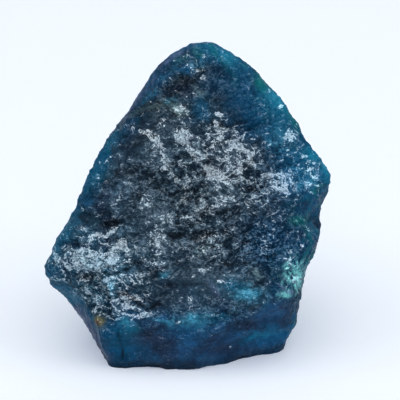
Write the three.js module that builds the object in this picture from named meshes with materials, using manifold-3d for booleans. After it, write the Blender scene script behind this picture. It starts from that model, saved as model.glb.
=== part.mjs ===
// Raw aquamarine: one broken lump of blue-green beryl, standing on the flat fracture at its foot.
//
// Millimetres, +Z up. The broad face looks towards -Y and leans back. The origin lies on the floor,
// under the middle of the stone's box.
//
// The stone is one solid. Its form is worked out in the frame of the broad face, from a point near
// the middle of the lump: u runs to the right, v up the face and w out of it. Every point of the
// surface is that middle plus a distance along a ray, so the surface can never cross itself.
// The ray stops at the nearest facet or rim, and a relief of lumps, ledges, chips and dents is
// added to it. The rays run through the grid on a block of about the stone's own proportions.
// The foot is then cut off flat at the floor.
import Module from "manifold-3d";
import * as THREE from "three";
import { mergeVertices } from "three/addons/utils/BufferGeometryUtils.js";

// ---- Driving dimensions -------------------------------------------------------------------------

/** How far the broad face leans back from upright, in radians. */
const LEAN = THREE.MathUtils.degToRad(25);

/** Height of the stone's middle above the floor. */
const MIDDLE_HEIGHT = 19.6;

/** The block whose grid the rays run through: its size, and its cells along u, v and w. */
const BLOCK = { size: [46, 52, 24], cells: [34, 38, 16] };

/** The block that is cut away below the floor. */
const BELOW_FLOOR = [100, 100, 20];

/** Crispness of the edges between facets: a larger power gives a sharper edge. */
const EDGE_POWER = 26;

/** The outline seen square to the broad face, as [u, v] corners, anticlockwise from the right tip. */
const OUTLINE = [
  [23.3, 6.7],
  [20.9, 9.5],
  [18.8, 11.5],
  [15.1, 17.2],
  [10.8, 22.4],
  [8.4, 24.5],
  [6.5, 26.0],
  [3.4, 27.4],
  [1.0, 28.0],
  [-2.0, 26.7],
  [-4.3, 24.9],
  [-7.8, 19.8],
  [-11.6, 14.2],
  [-13.3, 11.8],
  [-16.2, 6.8],
  [-17.2, 4.2],
  [-18.1, 1.0],
  [-21.1, -3.7],
  [-22.4, -6.6],
  [-23.4, -8.6],
  [-23.0, -10.2],
  [-20.0, -13.9],
  [-16.0, -18.6],
  [-13.9, -23.6],
  [-13.2, -26.6],
  [14.6, -24.8],
  [15.5, -21.0],
  [16.8, -18.0],
  [17.4, -14.2],
  [18.3, -9.8],
  [20.6, -4.7],
  [21.3, -2.2],
  [21.3, 0.2],
  [22.3, 4.2],
];

/** The rim by direction round the outline: the angle from +u in degrees, how far in front of the
 *  middle the widest line lies, and how fast the stone narrows in front of and behind that line. */
const RIM = [
  { angle: 15, ahead: 2.5, front: 0.6, back: 0.55 },
  { angle: 48, ahead: 1.5, front: 0.5, back: 0.35 },
  { angle: 85, ahead: 1.4, front: 0.3, back: 0.4 },
  { angle: 118, ahead: -1, front: 0.14, back: 0.3 },
  { angle: 155, ahead: 3, front: 0.35, back: 0.3 },
  { angle: 200, ahead: 4, front: 0.5, back: 0.6 },
  { angle: 228, ahead: -2, front: 0.12, back: 0.4 },
  { angle: 262, ahead: 3, front: 0, back: 0.1 },
  { angle: 318, ahead: 1, front: 0.12, back: 0.3 },
  { angle: 345, ahead: 2, front: 0.3, back: 0.3 },
];

/** The widest line wanders forwards and back by this much, about this many times on the way round. */
const RIM_WANDER = { height: 2.6, turns: 3 };

/** The facets, each by the way it faces and a point that it passes through. */
const FACETS = {
  broadFace: { faces: [0.04, 0.1, 1], through: [0, 0, 9.8] },
  crown: { faces: [-0.05, 0.42, 1], through: [0, 15.5, 8] },
  rightFlank: { faces: [0.52, 0.26, 1], through: [13.5, 4, 8.8] },
  leftFlank: { faces: [-0.55, 0.3, 1], through: [-14.2, 3, 9.2] },
  lowerLeftCorner: { faces: [-0.34, -0.06, 1], through: [-15, -11, 10] },
  footLeft: { faces: [-0.03, -0.68, 1], through: [-5, -24.6, 6.3] },
  footRight: { faces: [0.6, -1.07, 1], through: [2.9, -24.3, 5.7] },
  backFace: { faces: [0.12, 0.16, -1], through: [0, 0, -10.6] },
  backCrown: { faces: [-0.24, 0.6, -1], through: [1, 13, -8.8] },
  backLeft: { faces: [-0.85, 0.05, -1], through: [-12, -2, -7.4] },
  backRight: { faces: [0.9, -0.2, -1], through: [12, 0, -7.6] },
  backFoot: { faces: [-0.2, -0.34, -1], through: [0, -10, -12] },
};

/** The step below the crown: a lip that runs across the face through these [u, v] points. It is
 *  this deep, its slope is this wide, and it fades to a share of its depth towards the right. */
const SHOULDER = {
  lip: [
    [-14, 12.8],
    [-11, 14.7],
    [-7.5, 17],
    [-4.2, 17.6],
    [-1.6, 15.8],
    [1.5, 13.2],
    [6, 12.2],
    [12, 13.4],
    [24, 17],
  ],
  depth: 1.3,
  slope: 0.9,
  fades: { from: 4, to: 16, share: 0.3 },
};

/** Dents in the front: middle [u, v], half-widths along and across, turn in degrees, and depth. */
const DENTS = [
  { at: [-2.5, -13.4], half: [7.5, 2.3], turn: 6, depth: 1 },
  { at: [18.6, -1.4], half: [4.6, 2.6], turn: -14, depth: 1.3 },
  { at: [16.4, -10.4], half: [2.8, 2.2], turn: 20, depth: 1 },
  { at: [-15.2, -3.6], half: [5.4, 1.2], turn: 20, depth: 1 },
  { at: [-8.4, -5], half: [4.2, 1], turn: 14, depth: 0.8 },
  { at: [5.2, -5.9], half: [6.5, 1.1], turn: 4, depth: 0.75 },
  { at: [8.2, 21], half: [3.4, 2.4], turn: -40, depth: 0.6 },
  { at: [-4.2, 21.4], half: [4.8, 1.5], turn: 40, depth: 0.7 },
  { at: [-11.5, 8.4], half: [4.4, 3.2], turn: 40, depth: 0.8 },
  { at: [-17.4, -12.6], half: [3.6, 2.2], turn: -48, depth: 0.7 },
  { at: [11.6, 9.6], half: [5, 2], turn: -52, depth: 0.6 },
];

/** Shell-shaped scoops where flakes broke off the back and the sides: middle, radius and depth. */
const SCOOPS = [
  { at: [-9, 8, -10], radius: 9, depth: 1.8 },
  { at: [9, -8, -10], radius: 10, depth: 1.7 },
  { at: [10, 14, -5], radius: 7, depth: 1.3 },
  { at: [-16, -9, -6], radius: 7, depth: 1.4 },
  { at: [19, -6, -2], radius: 6, depth: 1 },
];

/** Growth layers cross the stone as ledges: their spacing, height and rise to the right, how high
 *  and how long their waves are, how wide the patches with ledges are, and where a layer ends. */
const LEDGES = {
  spacing: 3.4,
  height: 0.75,
  rise: 0.24,
  waveHeight: 3.6,
  waveLength: 12,
  patch: 7,
  brink: 0.7,
};

/** Broad lumps, and chips that are shallow bowls meeting in crisp ridges: how wide each of them is,
 *  how high it stands, and how far it is drawn out along the layers. */
const LUMPS = { size: 8, height: 0.6 };
const CHIPS = { size: 4.2, height: 1.1, stretch: 1.35 };

/** Share of the relief that is left at the widest line of the rim, and that line's half-width. */
const RIM_RELIEF = { share: 0.3, width: 2.5 };

/** The front's relief begins at the first of these distances in front of the middle, and has its
 *  full height from the second. */
const FRONT = { begins: -1, full: 4 };

/** Each use of noise reads its own part of the field, set apart by this much. */
const FIELDS = { lumps: 7, waves: 3, patches: 5, rim: 31 };

// ---- Small mathematics --------------------------------------------------------------------------

const TAU = 2 * Math.PI;

/** Rises smoothly from 0 at a to 1 at b. */
const smoothStep = (a, b, x) => THREE.MathUtils.smoothstep(x, a, b);

/** A repeatable number from -1 to 1 for each point of a whole-number lattice. */
function latticeValue(i, j, k) {
  let h = Math.imul(i, 0x27d4eb2d) ^ Math.imul(j, 0x165667b1) ^ Math.imul(k, 0x9e3779b1);
  h = Math.imul(h ^ (h >>> 15), 0x85ebca6b);
  h = Math.imul(h ^ (h >>> 13), 0xc2b2ae35);
  return ((h ^ (h >>> 16)) >>> 0) / 2147483648 - 1;
}

/** Smooth noise from -1 to 1: lattice values blended with a quintic fade. */
function noise(x, y, z) {
  const cell = [x, y, z].map(Math.floor);
  const fade = [x, y, z].map((value, axis) => {
    const t = value - cell[axis];
    return t * t * t * (t * (6 * t - 15) + 10);
  });
  let sum = 0;
  for (let corner = 0; corner < 8; corner += 1) {
    const step = [corner & 1, (corner >> 1) & 1, corner >> 2];
    const share = step.reduce((w, s, axis) => w * (s ? fade[axis] : 1 - fade[axis]), 1);
    sum += share * latticeValue(cell[0] + step[0], cell[1] + step[1], cell[2] + step[2]);
  }
  return sum;
}

/** Distance to the nearest site of a lattice whose sites are scattered within their cells. */
function nearestSite(x, y, z) {
  const cell = [x, y, z].map(Math.floor);
  let nearest = Infinity;
  for (let step = 0; step < 27; step += 1) {
    const i = cell[0] + (step % 3) - 1;
    const j = cell[1] + (Math.floor(step / 3) % 3) - 1;
    const k = cell[2] + Math.floor(step / 9) - 1;
    const scatter = [latticeValue(i, j, k), latticeValue(j, k, i), latticeValue(k, i, j)];
    const [dx, dy, dz] = [x - i, y - j, z - k].map((d, axis) => d - 0.5 - 0.4 * scatter[axis]);
    nearest = Math.min(nearest, Math.hypot(dx, dy, dz));
  }
  return nearest;
}

/** Height of a line through [x, y] points at x, straight between them. */
function lineAt(points, x) {
  const next = points.findIndex(([px]) => px >= x);
  if (next < 0) return points.at(-1)[1];
  if (next === 0) return points[0][1];
  const [[x0, y0], [x1, y1]] = points.slice(next - 1, next + 1);
  return y0 + ((y1 - y0) * (x - x0)) / (x1 - x0);
}

// ---- Form ---------------------------------------------------------------------------------------

/** Distance from the middle to the outline in the direction (cos, sin) of the face's plane. */
function outlineRadius(cos, sin) {
  for (let i = 0; i < OUTLINE.length; i += 1) {
    const [u0, v0] = OUTLINE[i];
    const [u1, v1] = OUTLINE[(i + 1) % OUTLINE.length];
    const before = cos * v0 - sin * u0;
    const after = cos * v1 - sin * u1;
    if (before <= 0 && after > 0) return (u0 * v1 - v0 * u1) / (after - before);
  }
  throw new Error("the outline doesn't go round the middle");
}

/** The rim at an angle from +u in the face's plane: the outline's radius there, and the values of
 *  RIM blended smoothly between the two entries on either side. */
function rimTowards(angle) {
  const [cos, sin] = [Math.cos(angle), Math.sin(angle)];
  const { turns } = RIM_WANDER;
  const next = RIM.findIndex((entry) => THREE.MathUtils.degToRad(entry.angle) > angle);
  const to = RIM[Math.max(next, 0)];
  const from = RIM.at(Math.max(next, 0) - 1);
  const gap = (THREE.MathUtils.degToRad(to.angle - from.angle) + TAU) % TAU;
  const along = (angle - THREE.MathUtils.degToRad(from.angle) + TAU) % TAU;
  const t = smoothStep(0, 1, along / gap);
  const blended = (key) => from[key] + (to[key] - from[key]) * t;
  return {
    radius: outlineRadius(cos, sin),
    ahead: blended("ahead") + RIM_WANDER.height * noise(cos * turns, sin * turns, FIELDS.rim),
    front: blended("front"),
    back: blended("back"),
  };
}

/** How far the body reaches along a ray. Each barrier is one over the distance at which the rim
 *  or a facet would stop the ray, and the reach is one over their power mean. */
function bodyReach(ray, across, rim) {
  const barriers = [
    Math.max(
      (across + rim.front * ray.z) / (rim.radius + rim.front * rim.ahead),
      (across - rim.back * ray.z) / (rim.radius - rim.back * rim.ahead),
    ),
  ];
  for (const { faces, through } of Object.values(FACETS)) {
    const outward = new THREE.Vector3(...faces);
    barriers.push(outward.dot(ray) / outward.dot(new THREE.Vector3(...through)));
  }
  const sum = barriers.reduce((total, bar) => total + Math.max(bar, 0) ** EDGE_POWER, 0);
  return sum ** (-1 / EDGE_POWER);
}

/** Lumps, layered ledges and chips, which cover the whole stone. */
function roughness({ x: u, y: v, z: w }) {
  const noiseOf = (size, field) => noise(u / size, v / size, w / size + field);
  const lumps = LUMPS.height * noiseOf(LUMPS.size, FIELDS.lumps);

  const wave = LEDGES.waveHeight * noiseOf(LEDGES.waveLength, FIELDS.waves);
  const place = (v - LEDGES.rise * u + wave) / LEDGES.spacing;
  const share = place - Math.floor(place);
  const standing = 0.5 + 0.5 * latticeValue(Math.floor(place), FIELDS.waves, 0);
  const patches = smoothStep(-0.35, 0.45, noiseOf(LEDGES.patch, FIELDS.patches));
  const ledges = LEDGES.height * standing * patches * (share - smoothStep(LEDGES.brink, 1, share));

  const along = (u + LEDGES.rise * v) / (CHIPS.size * CHIPS.stretch);
  const over = (v - LEDGES.rise * u) / CHIPS.size;
  const chips = CHIPS.height * (nearestSite(along, over, w / CHIPS.size) ** 2 - 0.4);
  return lumps + ledges + chips;
}

/** The step below the crown and the dents, which only the front has. */
function frontRelief(u, v) {
  const { lip, slope, depth: drop, fades } = SHOULDER;
  const overLip = smoothStep(0, slope, v - lineAt(lip, u));
  const fading = 1 - (1 - fades.share) * smoothStep(fades.from, fades.to, u);
  return DENTS.reduce(
    (height, { at, half, turn, depth }) => {
      const angle = THREE.MathUtils.degToRad(turn);
      const [du, dv] = [u - at[0], v - at[1]];
      const along = (du * Math.cos(angle) + dv * Math.sin(angle)) / half[0];
      const over = (dv * Math.cos(angle) - du * Math.sin(angle)) / half[1];
      return height - depth * Math.exp(-(along * along + over * over));
    },
    -drop * overLip * fading,
  );
}

/** Depth of the scoops at a point: each is a bowl that ends in a crisp edge at its radius. */
function scooped(point) {
  return SCOOPS.reduce((depth, scoop) => {
    const distance = point.distanceTo(new THREE.Vector3(...scoop.at)) / scoop.radius;
    return depth + scoop.depth * Math.max(0, 1 - distance * distance);
  }, 0);
}

/** Height of the relief at a point of the body, which is gentler along the rim's widest line. */
function relief(point, across, rim) {
  const onRim = smoothStep(0.9, 0.99, across / rim.radius);
  const fromLine = (point.z - rim.ahead) / RIM_RELIEF.width;
  const kept = 1 - (1 - RIM_RELIEF.share) * onRim * Math.exp(-fromLine * fromLine);
  const onFront = smoothStep(FRONT.begins, FRONT.full, point.z);
  return kept * (roughness(point) + onFront * frontRelief(point.x, point.y) - scooped(point));
}

/** From the frame of the broad face to the stone's own frame, whose floor is at height 0. */
function stood({ x: u, y: v, z: w }) {
  return new THREE.Vector3(
    u,
    v * Math.sin(LEAN) - w * Math.cos(LEAN),
    v * Math.cos(LEAN) + w * Math.sin(LEAN) + MIDDLE_HEIGHT,
  );
}

/** The surface point along a ray, stood on the floor but not yet cut off at it. */
function surfacePoint(ray) {
  const across = Math.hypot(ray.x, ray.y);
  const rim = rimTowards((Math.atan2(ray.y, ray.x) + TAU) % TAU);
  const reach = bodyReach(ray, across, rim);
  const height = relief(ray.clone().multiplyScalar(reach), across * reach, rim);
  return stood(ray.clone().multiplyScalar(reach + height));
}

/** A block with a grid of points on its faces, each shared by the cells around it. */
function gridBlock(size, cells) {
  const block = new THREE.BoxGeometry(...size, ...cells);
  block.deleteAttribute("normal");
  block.deleteAttribute("uv");
  return mergeVertices(block, 1e-3);
}

/** The stone before its foot is cut: the block's points, each moved along its ray. */
function wholeStone() {
  const geometry = gridBlock(BLOCK.size, BLOCK.cells);
  const position = geometry.getAttribute("position");
  const ray = new THREE.Vector3();
  for (let i = 0; i < position.count; i += 1) {
    ray.fromBufferAttribute(position, i).normalize();
    position.setXYZ(i, ...surfacePoint(ray).toArray());
  }
  return geometry;
}

/** The first solid less the second. */
async function cutAway(body, tool) {
  const wasm = await Module();
  wasm.setup();
  const solid = (geometry) =>
    new wasm.Manifold(
      new wasm.Mesh({
        numProp: 3,
        vertProperties: new Float32Array(geometry.getAttribute("position").array),
        triVerts: new Uint32Array(geometry.getIndex().array),
      }),
    );
  const { vertProperties, triVerts } = solid(body).subtract(solid(tool)).getMesh();
  const geometry = new THREE.BufferGeometry();
  geometry.setAttribute("position", new THREE.BufferAttribute(vertProperties, 3));
  geometry.setIndex(new THREE.BufferAttribute(triVerts, 1));
  return geometry;
}

/** The stone: the whole stone with everything below the floor cut away, over its box's middle. */
async function roughStone() {
  const below = gridBlock(BELOW_FLOOR, [1, 1, 1]).translate(0, 0, -BELOW_FLOOR[2] / 2);
  const geometry = await cutAway(wholeStone(), below);
  geometry.computeBoundingBox();
  const middle = geometry.boundingBox.getCenter(new THREE.Vector3());
  geometry.translate(-middle.x, -middle.y, 0);
  geometry.computeVertexNormals();
  return geometry;
}

// ---- The part -----------------------------------------------------------------------------------

const aquamarine = new THREE.Mesh(
  await roughStone(),
  new THREE.MeshStandardMaterial({ color: 0x1f4a5e, roughness: 0.45, metalness: 0 }),
);
aquamarine.name = "rough_stone";

const part = new THREE.Group();
part.add(aquamarine);

export default part;
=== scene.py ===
"""Raw aquamarine: the looks of one broken lump of blue-green beryl, standing on its flat foot.

The stone is worked out in millimetres in the frame of its broad face, from a point near the middle
of the lump: u runs to the right, v up the face and w out of it. Every point of the surface is that
middle plus a distance along a ray. The ray stops at the nearest facet or rim, and a relief of
lumps, ledges, chips, dents and crumbs is added to it. The rays run through the grid on a block of
about the stone's own proportions. The foot is then cut off flat at the floor.
"""

from __future__ import annotations

import logging
import math
from dataclasses import dataclass, field
from enum import Enum

import bmesh
import bpy
import numpy as np
from mathutils import Matrix, Vector

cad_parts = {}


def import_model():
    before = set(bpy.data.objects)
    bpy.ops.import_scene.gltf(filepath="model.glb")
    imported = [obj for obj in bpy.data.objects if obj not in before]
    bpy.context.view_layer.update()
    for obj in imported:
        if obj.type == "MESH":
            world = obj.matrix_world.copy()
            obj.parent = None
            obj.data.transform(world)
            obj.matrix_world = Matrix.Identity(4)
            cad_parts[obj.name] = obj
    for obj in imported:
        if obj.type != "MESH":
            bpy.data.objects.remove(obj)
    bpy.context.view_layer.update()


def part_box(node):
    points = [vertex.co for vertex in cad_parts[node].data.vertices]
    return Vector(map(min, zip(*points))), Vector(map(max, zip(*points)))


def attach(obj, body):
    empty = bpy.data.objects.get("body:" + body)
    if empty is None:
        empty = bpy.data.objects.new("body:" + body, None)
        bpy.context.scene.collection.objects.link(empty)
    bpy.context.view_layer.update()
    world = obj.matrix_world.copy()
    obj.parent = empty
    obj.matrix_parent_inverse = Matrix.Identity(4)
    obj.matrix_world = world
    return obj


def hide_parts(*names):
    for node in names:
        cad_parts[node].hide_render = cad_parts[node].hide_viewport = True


LOG = logging.getLogger("aquamarine")

MM = 0.001
STONE_NODE = "rough_stone"
BODY = "root"

Colour = tuple[float, float, float]
Pair = tuple[float, float]
Triple = tuple[float, float, float]
Node = bpy.types.Node
Socket = bpy.types.NodeSocket

WHITE: Colour = (1.0, 1.0, 1.0)

# The places of a Mix node's share, two colours and result among its inputs and outputs.
MIX_INPUTS = (0, 6, 7)
MIX_RESULT = 2

# Where along w the front of the stone begins, and where it is full.
FRONT: Pair = (-2.0, 2.0)

# A turn about a slanting axis, so that the cells of the noise never line up with the stone.
SKEW = np.array(Matrix.Rotation(1.1, 3, Vector((0.48, 0.6, 0.64))))

# What mixes the three indices of a lattice point: a factor for each, then shifts and factors.
INDEX_FACTORS = (0x27D4EB2D, 0x165667B1, 0x9E3779B1)
MIX_ROUNDS = ((15, 0x85EBCA6B), (13, 0xC2B2AE35))
LAST_SHIFT = 16
HALF_RANGE = 2147483648.0

# Cloudy noise: the share and fineness of each octave, the gain of their sum, and how far, which
# way and how finely its points are bent, by noise that is read at a place of its own.
OCTAVES = ((0.62, 1.0), (0.4, 1.9), (0.25, 3.7))
CLOUD_GAIN = 1.25
BEND = 0.35
BEND_WAY = (1.0, -0.7, 0.4)
BEND_FINENESS = 1.3
BEND_PLACE = 5.0

# How far a scattered site may lie from the middle of its cell, in cells.
SCATTER = 0.4


# ---- Small mathematics ---------------------------------------------------------------------------


def smooth_step(start: float, end: float, x: np.ndarray) -> np.ndarray:
    """Rise smoothly from 0 at start to 1 at end: 3t^2 - 2t^3 of the clamped share t of the way.

    Args:
        start: Where the rise begins.
        end: Where the rise ends.
        x: The values to look up.

    Returns:
        A value from 0 to 1 for each x.
    """
    t = np.clip((x - start) / (end - start), 0.0, 1.0)
    return t * t * (3.0 - 2.0 * t)


def lattice_value(i: np.ndarray, j: np.ndarray, k: np.ndarray) -> np.ndarray:
    """Give each point of a whole-number lattice a repeatable number.

    The three indices are multiplied by odd factors, joined by exclusive or, and mixed by
    shifts and two more products, all in 32 bits.

    Args:
        i: First index of each point.
        j: Second index of each point.
        k: Third index of each point.

    Returns:
        A number from -1 to 1 for each point.
    """
    mixed = np.uint32(0)
    for index, factor in zip((i, j, k), INDEX_FACTORS):
        part = np.asarray(index, dtype=np.int64).astype(np.uint32)
        mixed = mixed ^ (part * np.uint32(factor))
    for shift, factor in MIX_ROUNDS:
        mixed = (mixed ^ (mixed >> np.uint32(shift))) * np.uint32(factor)
    mixed = mixed ^ (mixed >> np.uint32(LAST_SHIFT))
    return mixed.astype(float) / HALF_RANGE - 1.0


def noise(points: np.ndarray) -> np.ndarray:
    """Blend the lattice values around each point with a quintic fade, 6t^5 - 15t^4 + 10t^3.

    Args:
        points: Places in the lattice, one row of three each.

    Returns:
        Smooth noise from -1 to 1 for each point.
    """
    cell = np.floor(points)
    t = points - cell
    fade = t * t * t * (t * (6.0 * t - 15.0) + 10.0)
    total = np.zeros(len(points))
    for corner in range(8):
        step = np.array([corner & 1, (corner >> 1) & 1, corner >> 2])
        share = np.where(step == 1, fade, 1.0 - fade).prod(axis=1)
        total += share * lattice_value(*(cell + step).T)
    return total


def mottle(points: np.ndarray, size: float, place: float) -> np.ndarray:
    """Cloudy noise without straight edges: three octaves, each turned, on points bent by noise.

    Args:
        points: Points in millimetres, one row of three each.
        size: How wide the largest spots are.
        place: The part of the noise field to read.

    Returns:
        A value from about -1 to 1 for each point.
    """
    at = points @ SKEW.T / size + place
    bending = noise(at @ SKEW.T * BEND_FINENESS + BEND_PLACE)[:, None]
    at = at + BEND * bending * np.array(BEND_WAY)
    total = np.zeros(len(points))
    for share, fineness in OCTAVES:
        total += share * noise(at * fineness)
        at = at @ SKEW.T
    return np.clip(CLOUD_GAIN * total, -1.0, 1.0)


def nearest_site(points: np.ndarray) -> np.ndarray:
    """Find how far each point is from the nearest site of a lattice scattered within its cells.

    Args:
        points: Places in the lattice, one row of three each.

    Returns:
        The distance in cells for each point.
    """
    cell = np.floor(points)
    nearest = np.full(len(points), np.inf)
    for step in np.ndindex(3, 3, 3):
        i, j, k = (cell + np.array(step) - 1).T
        scatter = np.stack([lattice_value(i, j, k), lattice_value(j, k, i), lattice_value(k, i, j)])
        offset = points - np.stack([i, j, k], axis=1) - 0.5 - SCATTER * scatter.T
        nearest = np.minimum(nearest, np.linalg.norm(offset, axis=1))
    return nearest


def turned(du: np.ndarray, dv: np.ndarray, degrees: float) -> tuple[np.ndarray, np.ndarray]:
    """Turn offsets on the face into offsets along and across a direction.

    Args:
        du: Offsets to the right.
        dv: Offsets up the face.
        degrees: The direction's angle from the right.

    Returns:
        The offsets along the direction and across it.
    """
    cos, sin = math.cos(math.radians(degrees)), math.sin(math.radians(degrees))
    return du * cos + dv * sin, dv * cos - du * sin


# ---- The block of rays ---------------------------------------------------------------------------


class Side(Enum):
    """The six sides of the block of rays, each by the axis that it faces along and its sign."""

    RIGHT = (0, 1)
    LEFT = (0, -1)
    UP = (1, 1)
    DOWN = (1, -1)
    FRONT = (2, 1)
    BACK = (2, -1)


@dataclass(frozen=True)
class RayBlock:
    """A closed block whose grid gives the directions of the rays.

    The back, where less is seen, has one cell for every two by two of the others.

    Attributes:
        size: The block's size along u, v and w.
        cells: Its number of cells along u, v and w, even along u and v.
    """

    size: Triple = (46.0, 52.0, 18.0)
    cells: tuple[int, int, int] = (218, 246, 34)

    def _side_keys(self, side: Side) -> np.ndarray:
        """Number the lattice points of one side.

        Args:
            side: The side.

        Returns:
            The numbers as a grid over the side's two axes.
        """
        axis, sign = side.value
        first, second = (axis + 1) % 3, (axis + 2) % 3
        place = np.zeros((self.cells[first] + 1, self.cells[second] + 1, 3), dtype=np.int64)
        place[..., axis] = self.cells[axis] if sign > 0 else 0
        place[..., first] = np.arange(self.cells[first] + 1)[:, None]
        place[..., second] = np.arange(self.cells[second] + 1)[None, :]
        rows, columns = self.cells[1] + 1, self.cells[2] + 1
        return (place[..., 0] * rows + place[..., 1]) * columns + place[..., 2]

    def _coarse_rings(self, keys: np.ndarray) -> tuple[np.ndarray, np.ndarray]:
        """Join the cells of a side two by two, and keep the halfway points of its border.

        Args:
            keys: The side's numbered lattice points.

        Returns:
            Eight numbers for each coarse cell, corners and halfway points in turn, and which of
            the eight are kept.
        """
        low, middle, high = slice(0, -1, 2), slice(1, None, 2), slice(2, None, 2)
        ring = (
            keys[low, low], keys[middle, low], keys[high, low], keys[high, middle],
            keys[high, high], keys[middle, high], keys[low, high], keys[low, middle],
        )
        rings = np.stack(ring, axis=-1)
        kept = np.zeros(rings.shape, dtype=bool)
        kept[..., ::2] = True
        kept[:, 0, 1] = kept[-1, :, 3] = kept[:, -1, 5] = kept[0, :, 7] = True
        return rings.reshape(-1, 8), kept.reshape(-1, 8)

    def rays(self) -> tuple[np.ndarray, list[np.ndarray]]:
        """Work out the rays and the cells between them.

        A lattice point (i, j, k) on the block's surface lies at size * (index / cells - 1/2), and
        its ray is that point over its own length. Points on a shared edge are one point.

        Returns:
            The unit rays, one row of three each, and the ray numbers of each cell, in order round
            it as seen from outside.
        """
        numbers, lengths = [], []
        for side in Side:
            keys = self._side_keys(side)
            if side is Side.BACK:
                rings, kept = self._coarse_rings(keys)
            else:
                quads = (keys[:-1, :-1], keys[1:, :-1], keys[1:, 1:], keys[:-1, 1:])
                rings = np.stack(quads, axis=-1).reshape(-1, 4)
                kept = np.ones(rings.shape, dtype=bool)
            if side.value[1] < 0:
                rings, kept = rings[:, ::-1], kept[:, ::-1]
            numbers.append(rings[kept])
            lengths.append(kept.sum(axis=1))
        keys, cells = np.unique(np.concatenate(numbers), return_inverse=True)
        rows, columns = self.cells[1] + 1, self.cells[2] + 1
        lattice = np.stack([keys // (rows * columns), keys // columns % rows, keys % columns], axis=1)
        points = np.array(self.size) * (lattice / np.array(self.cells) - 0.5)
        rays = points / np.linalg.norm(points, axis=1, keepdims=True)
        return rays, np.split(cells.ravel(), np.cumsum(np.concatenate(lengths))[:-1])


# ---- The body of the stone -----------------------------------------------------------------------


@dataclass(frozen=True)
class RimMark:
    """The rim in one direction round the outline.

    Attributes:
        angle: The direction, in degrees from +u.
        ahead: How far in front of the middle the widest line lies.
        front: How fast the stone narrows in front of that line.
        back: How fast it narrows behind it.
    """

    angle: float
    ahead: float
    front: float
    back: float


@dataclass(frozen=True)
class Facet:
    """A flat that bounds the stone: the way it faces, and a point that it passes through."""

    faces: Triple
    through: Triple


@dataclass(frozen=True)
class Rims:
    """The rim along many rays at once: the outline's radius and the blended rim marks."""

    radius: np.ndarray
    ahead: np.ndarray
    front: np.ndarray
    back: np.ndarray


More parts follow.
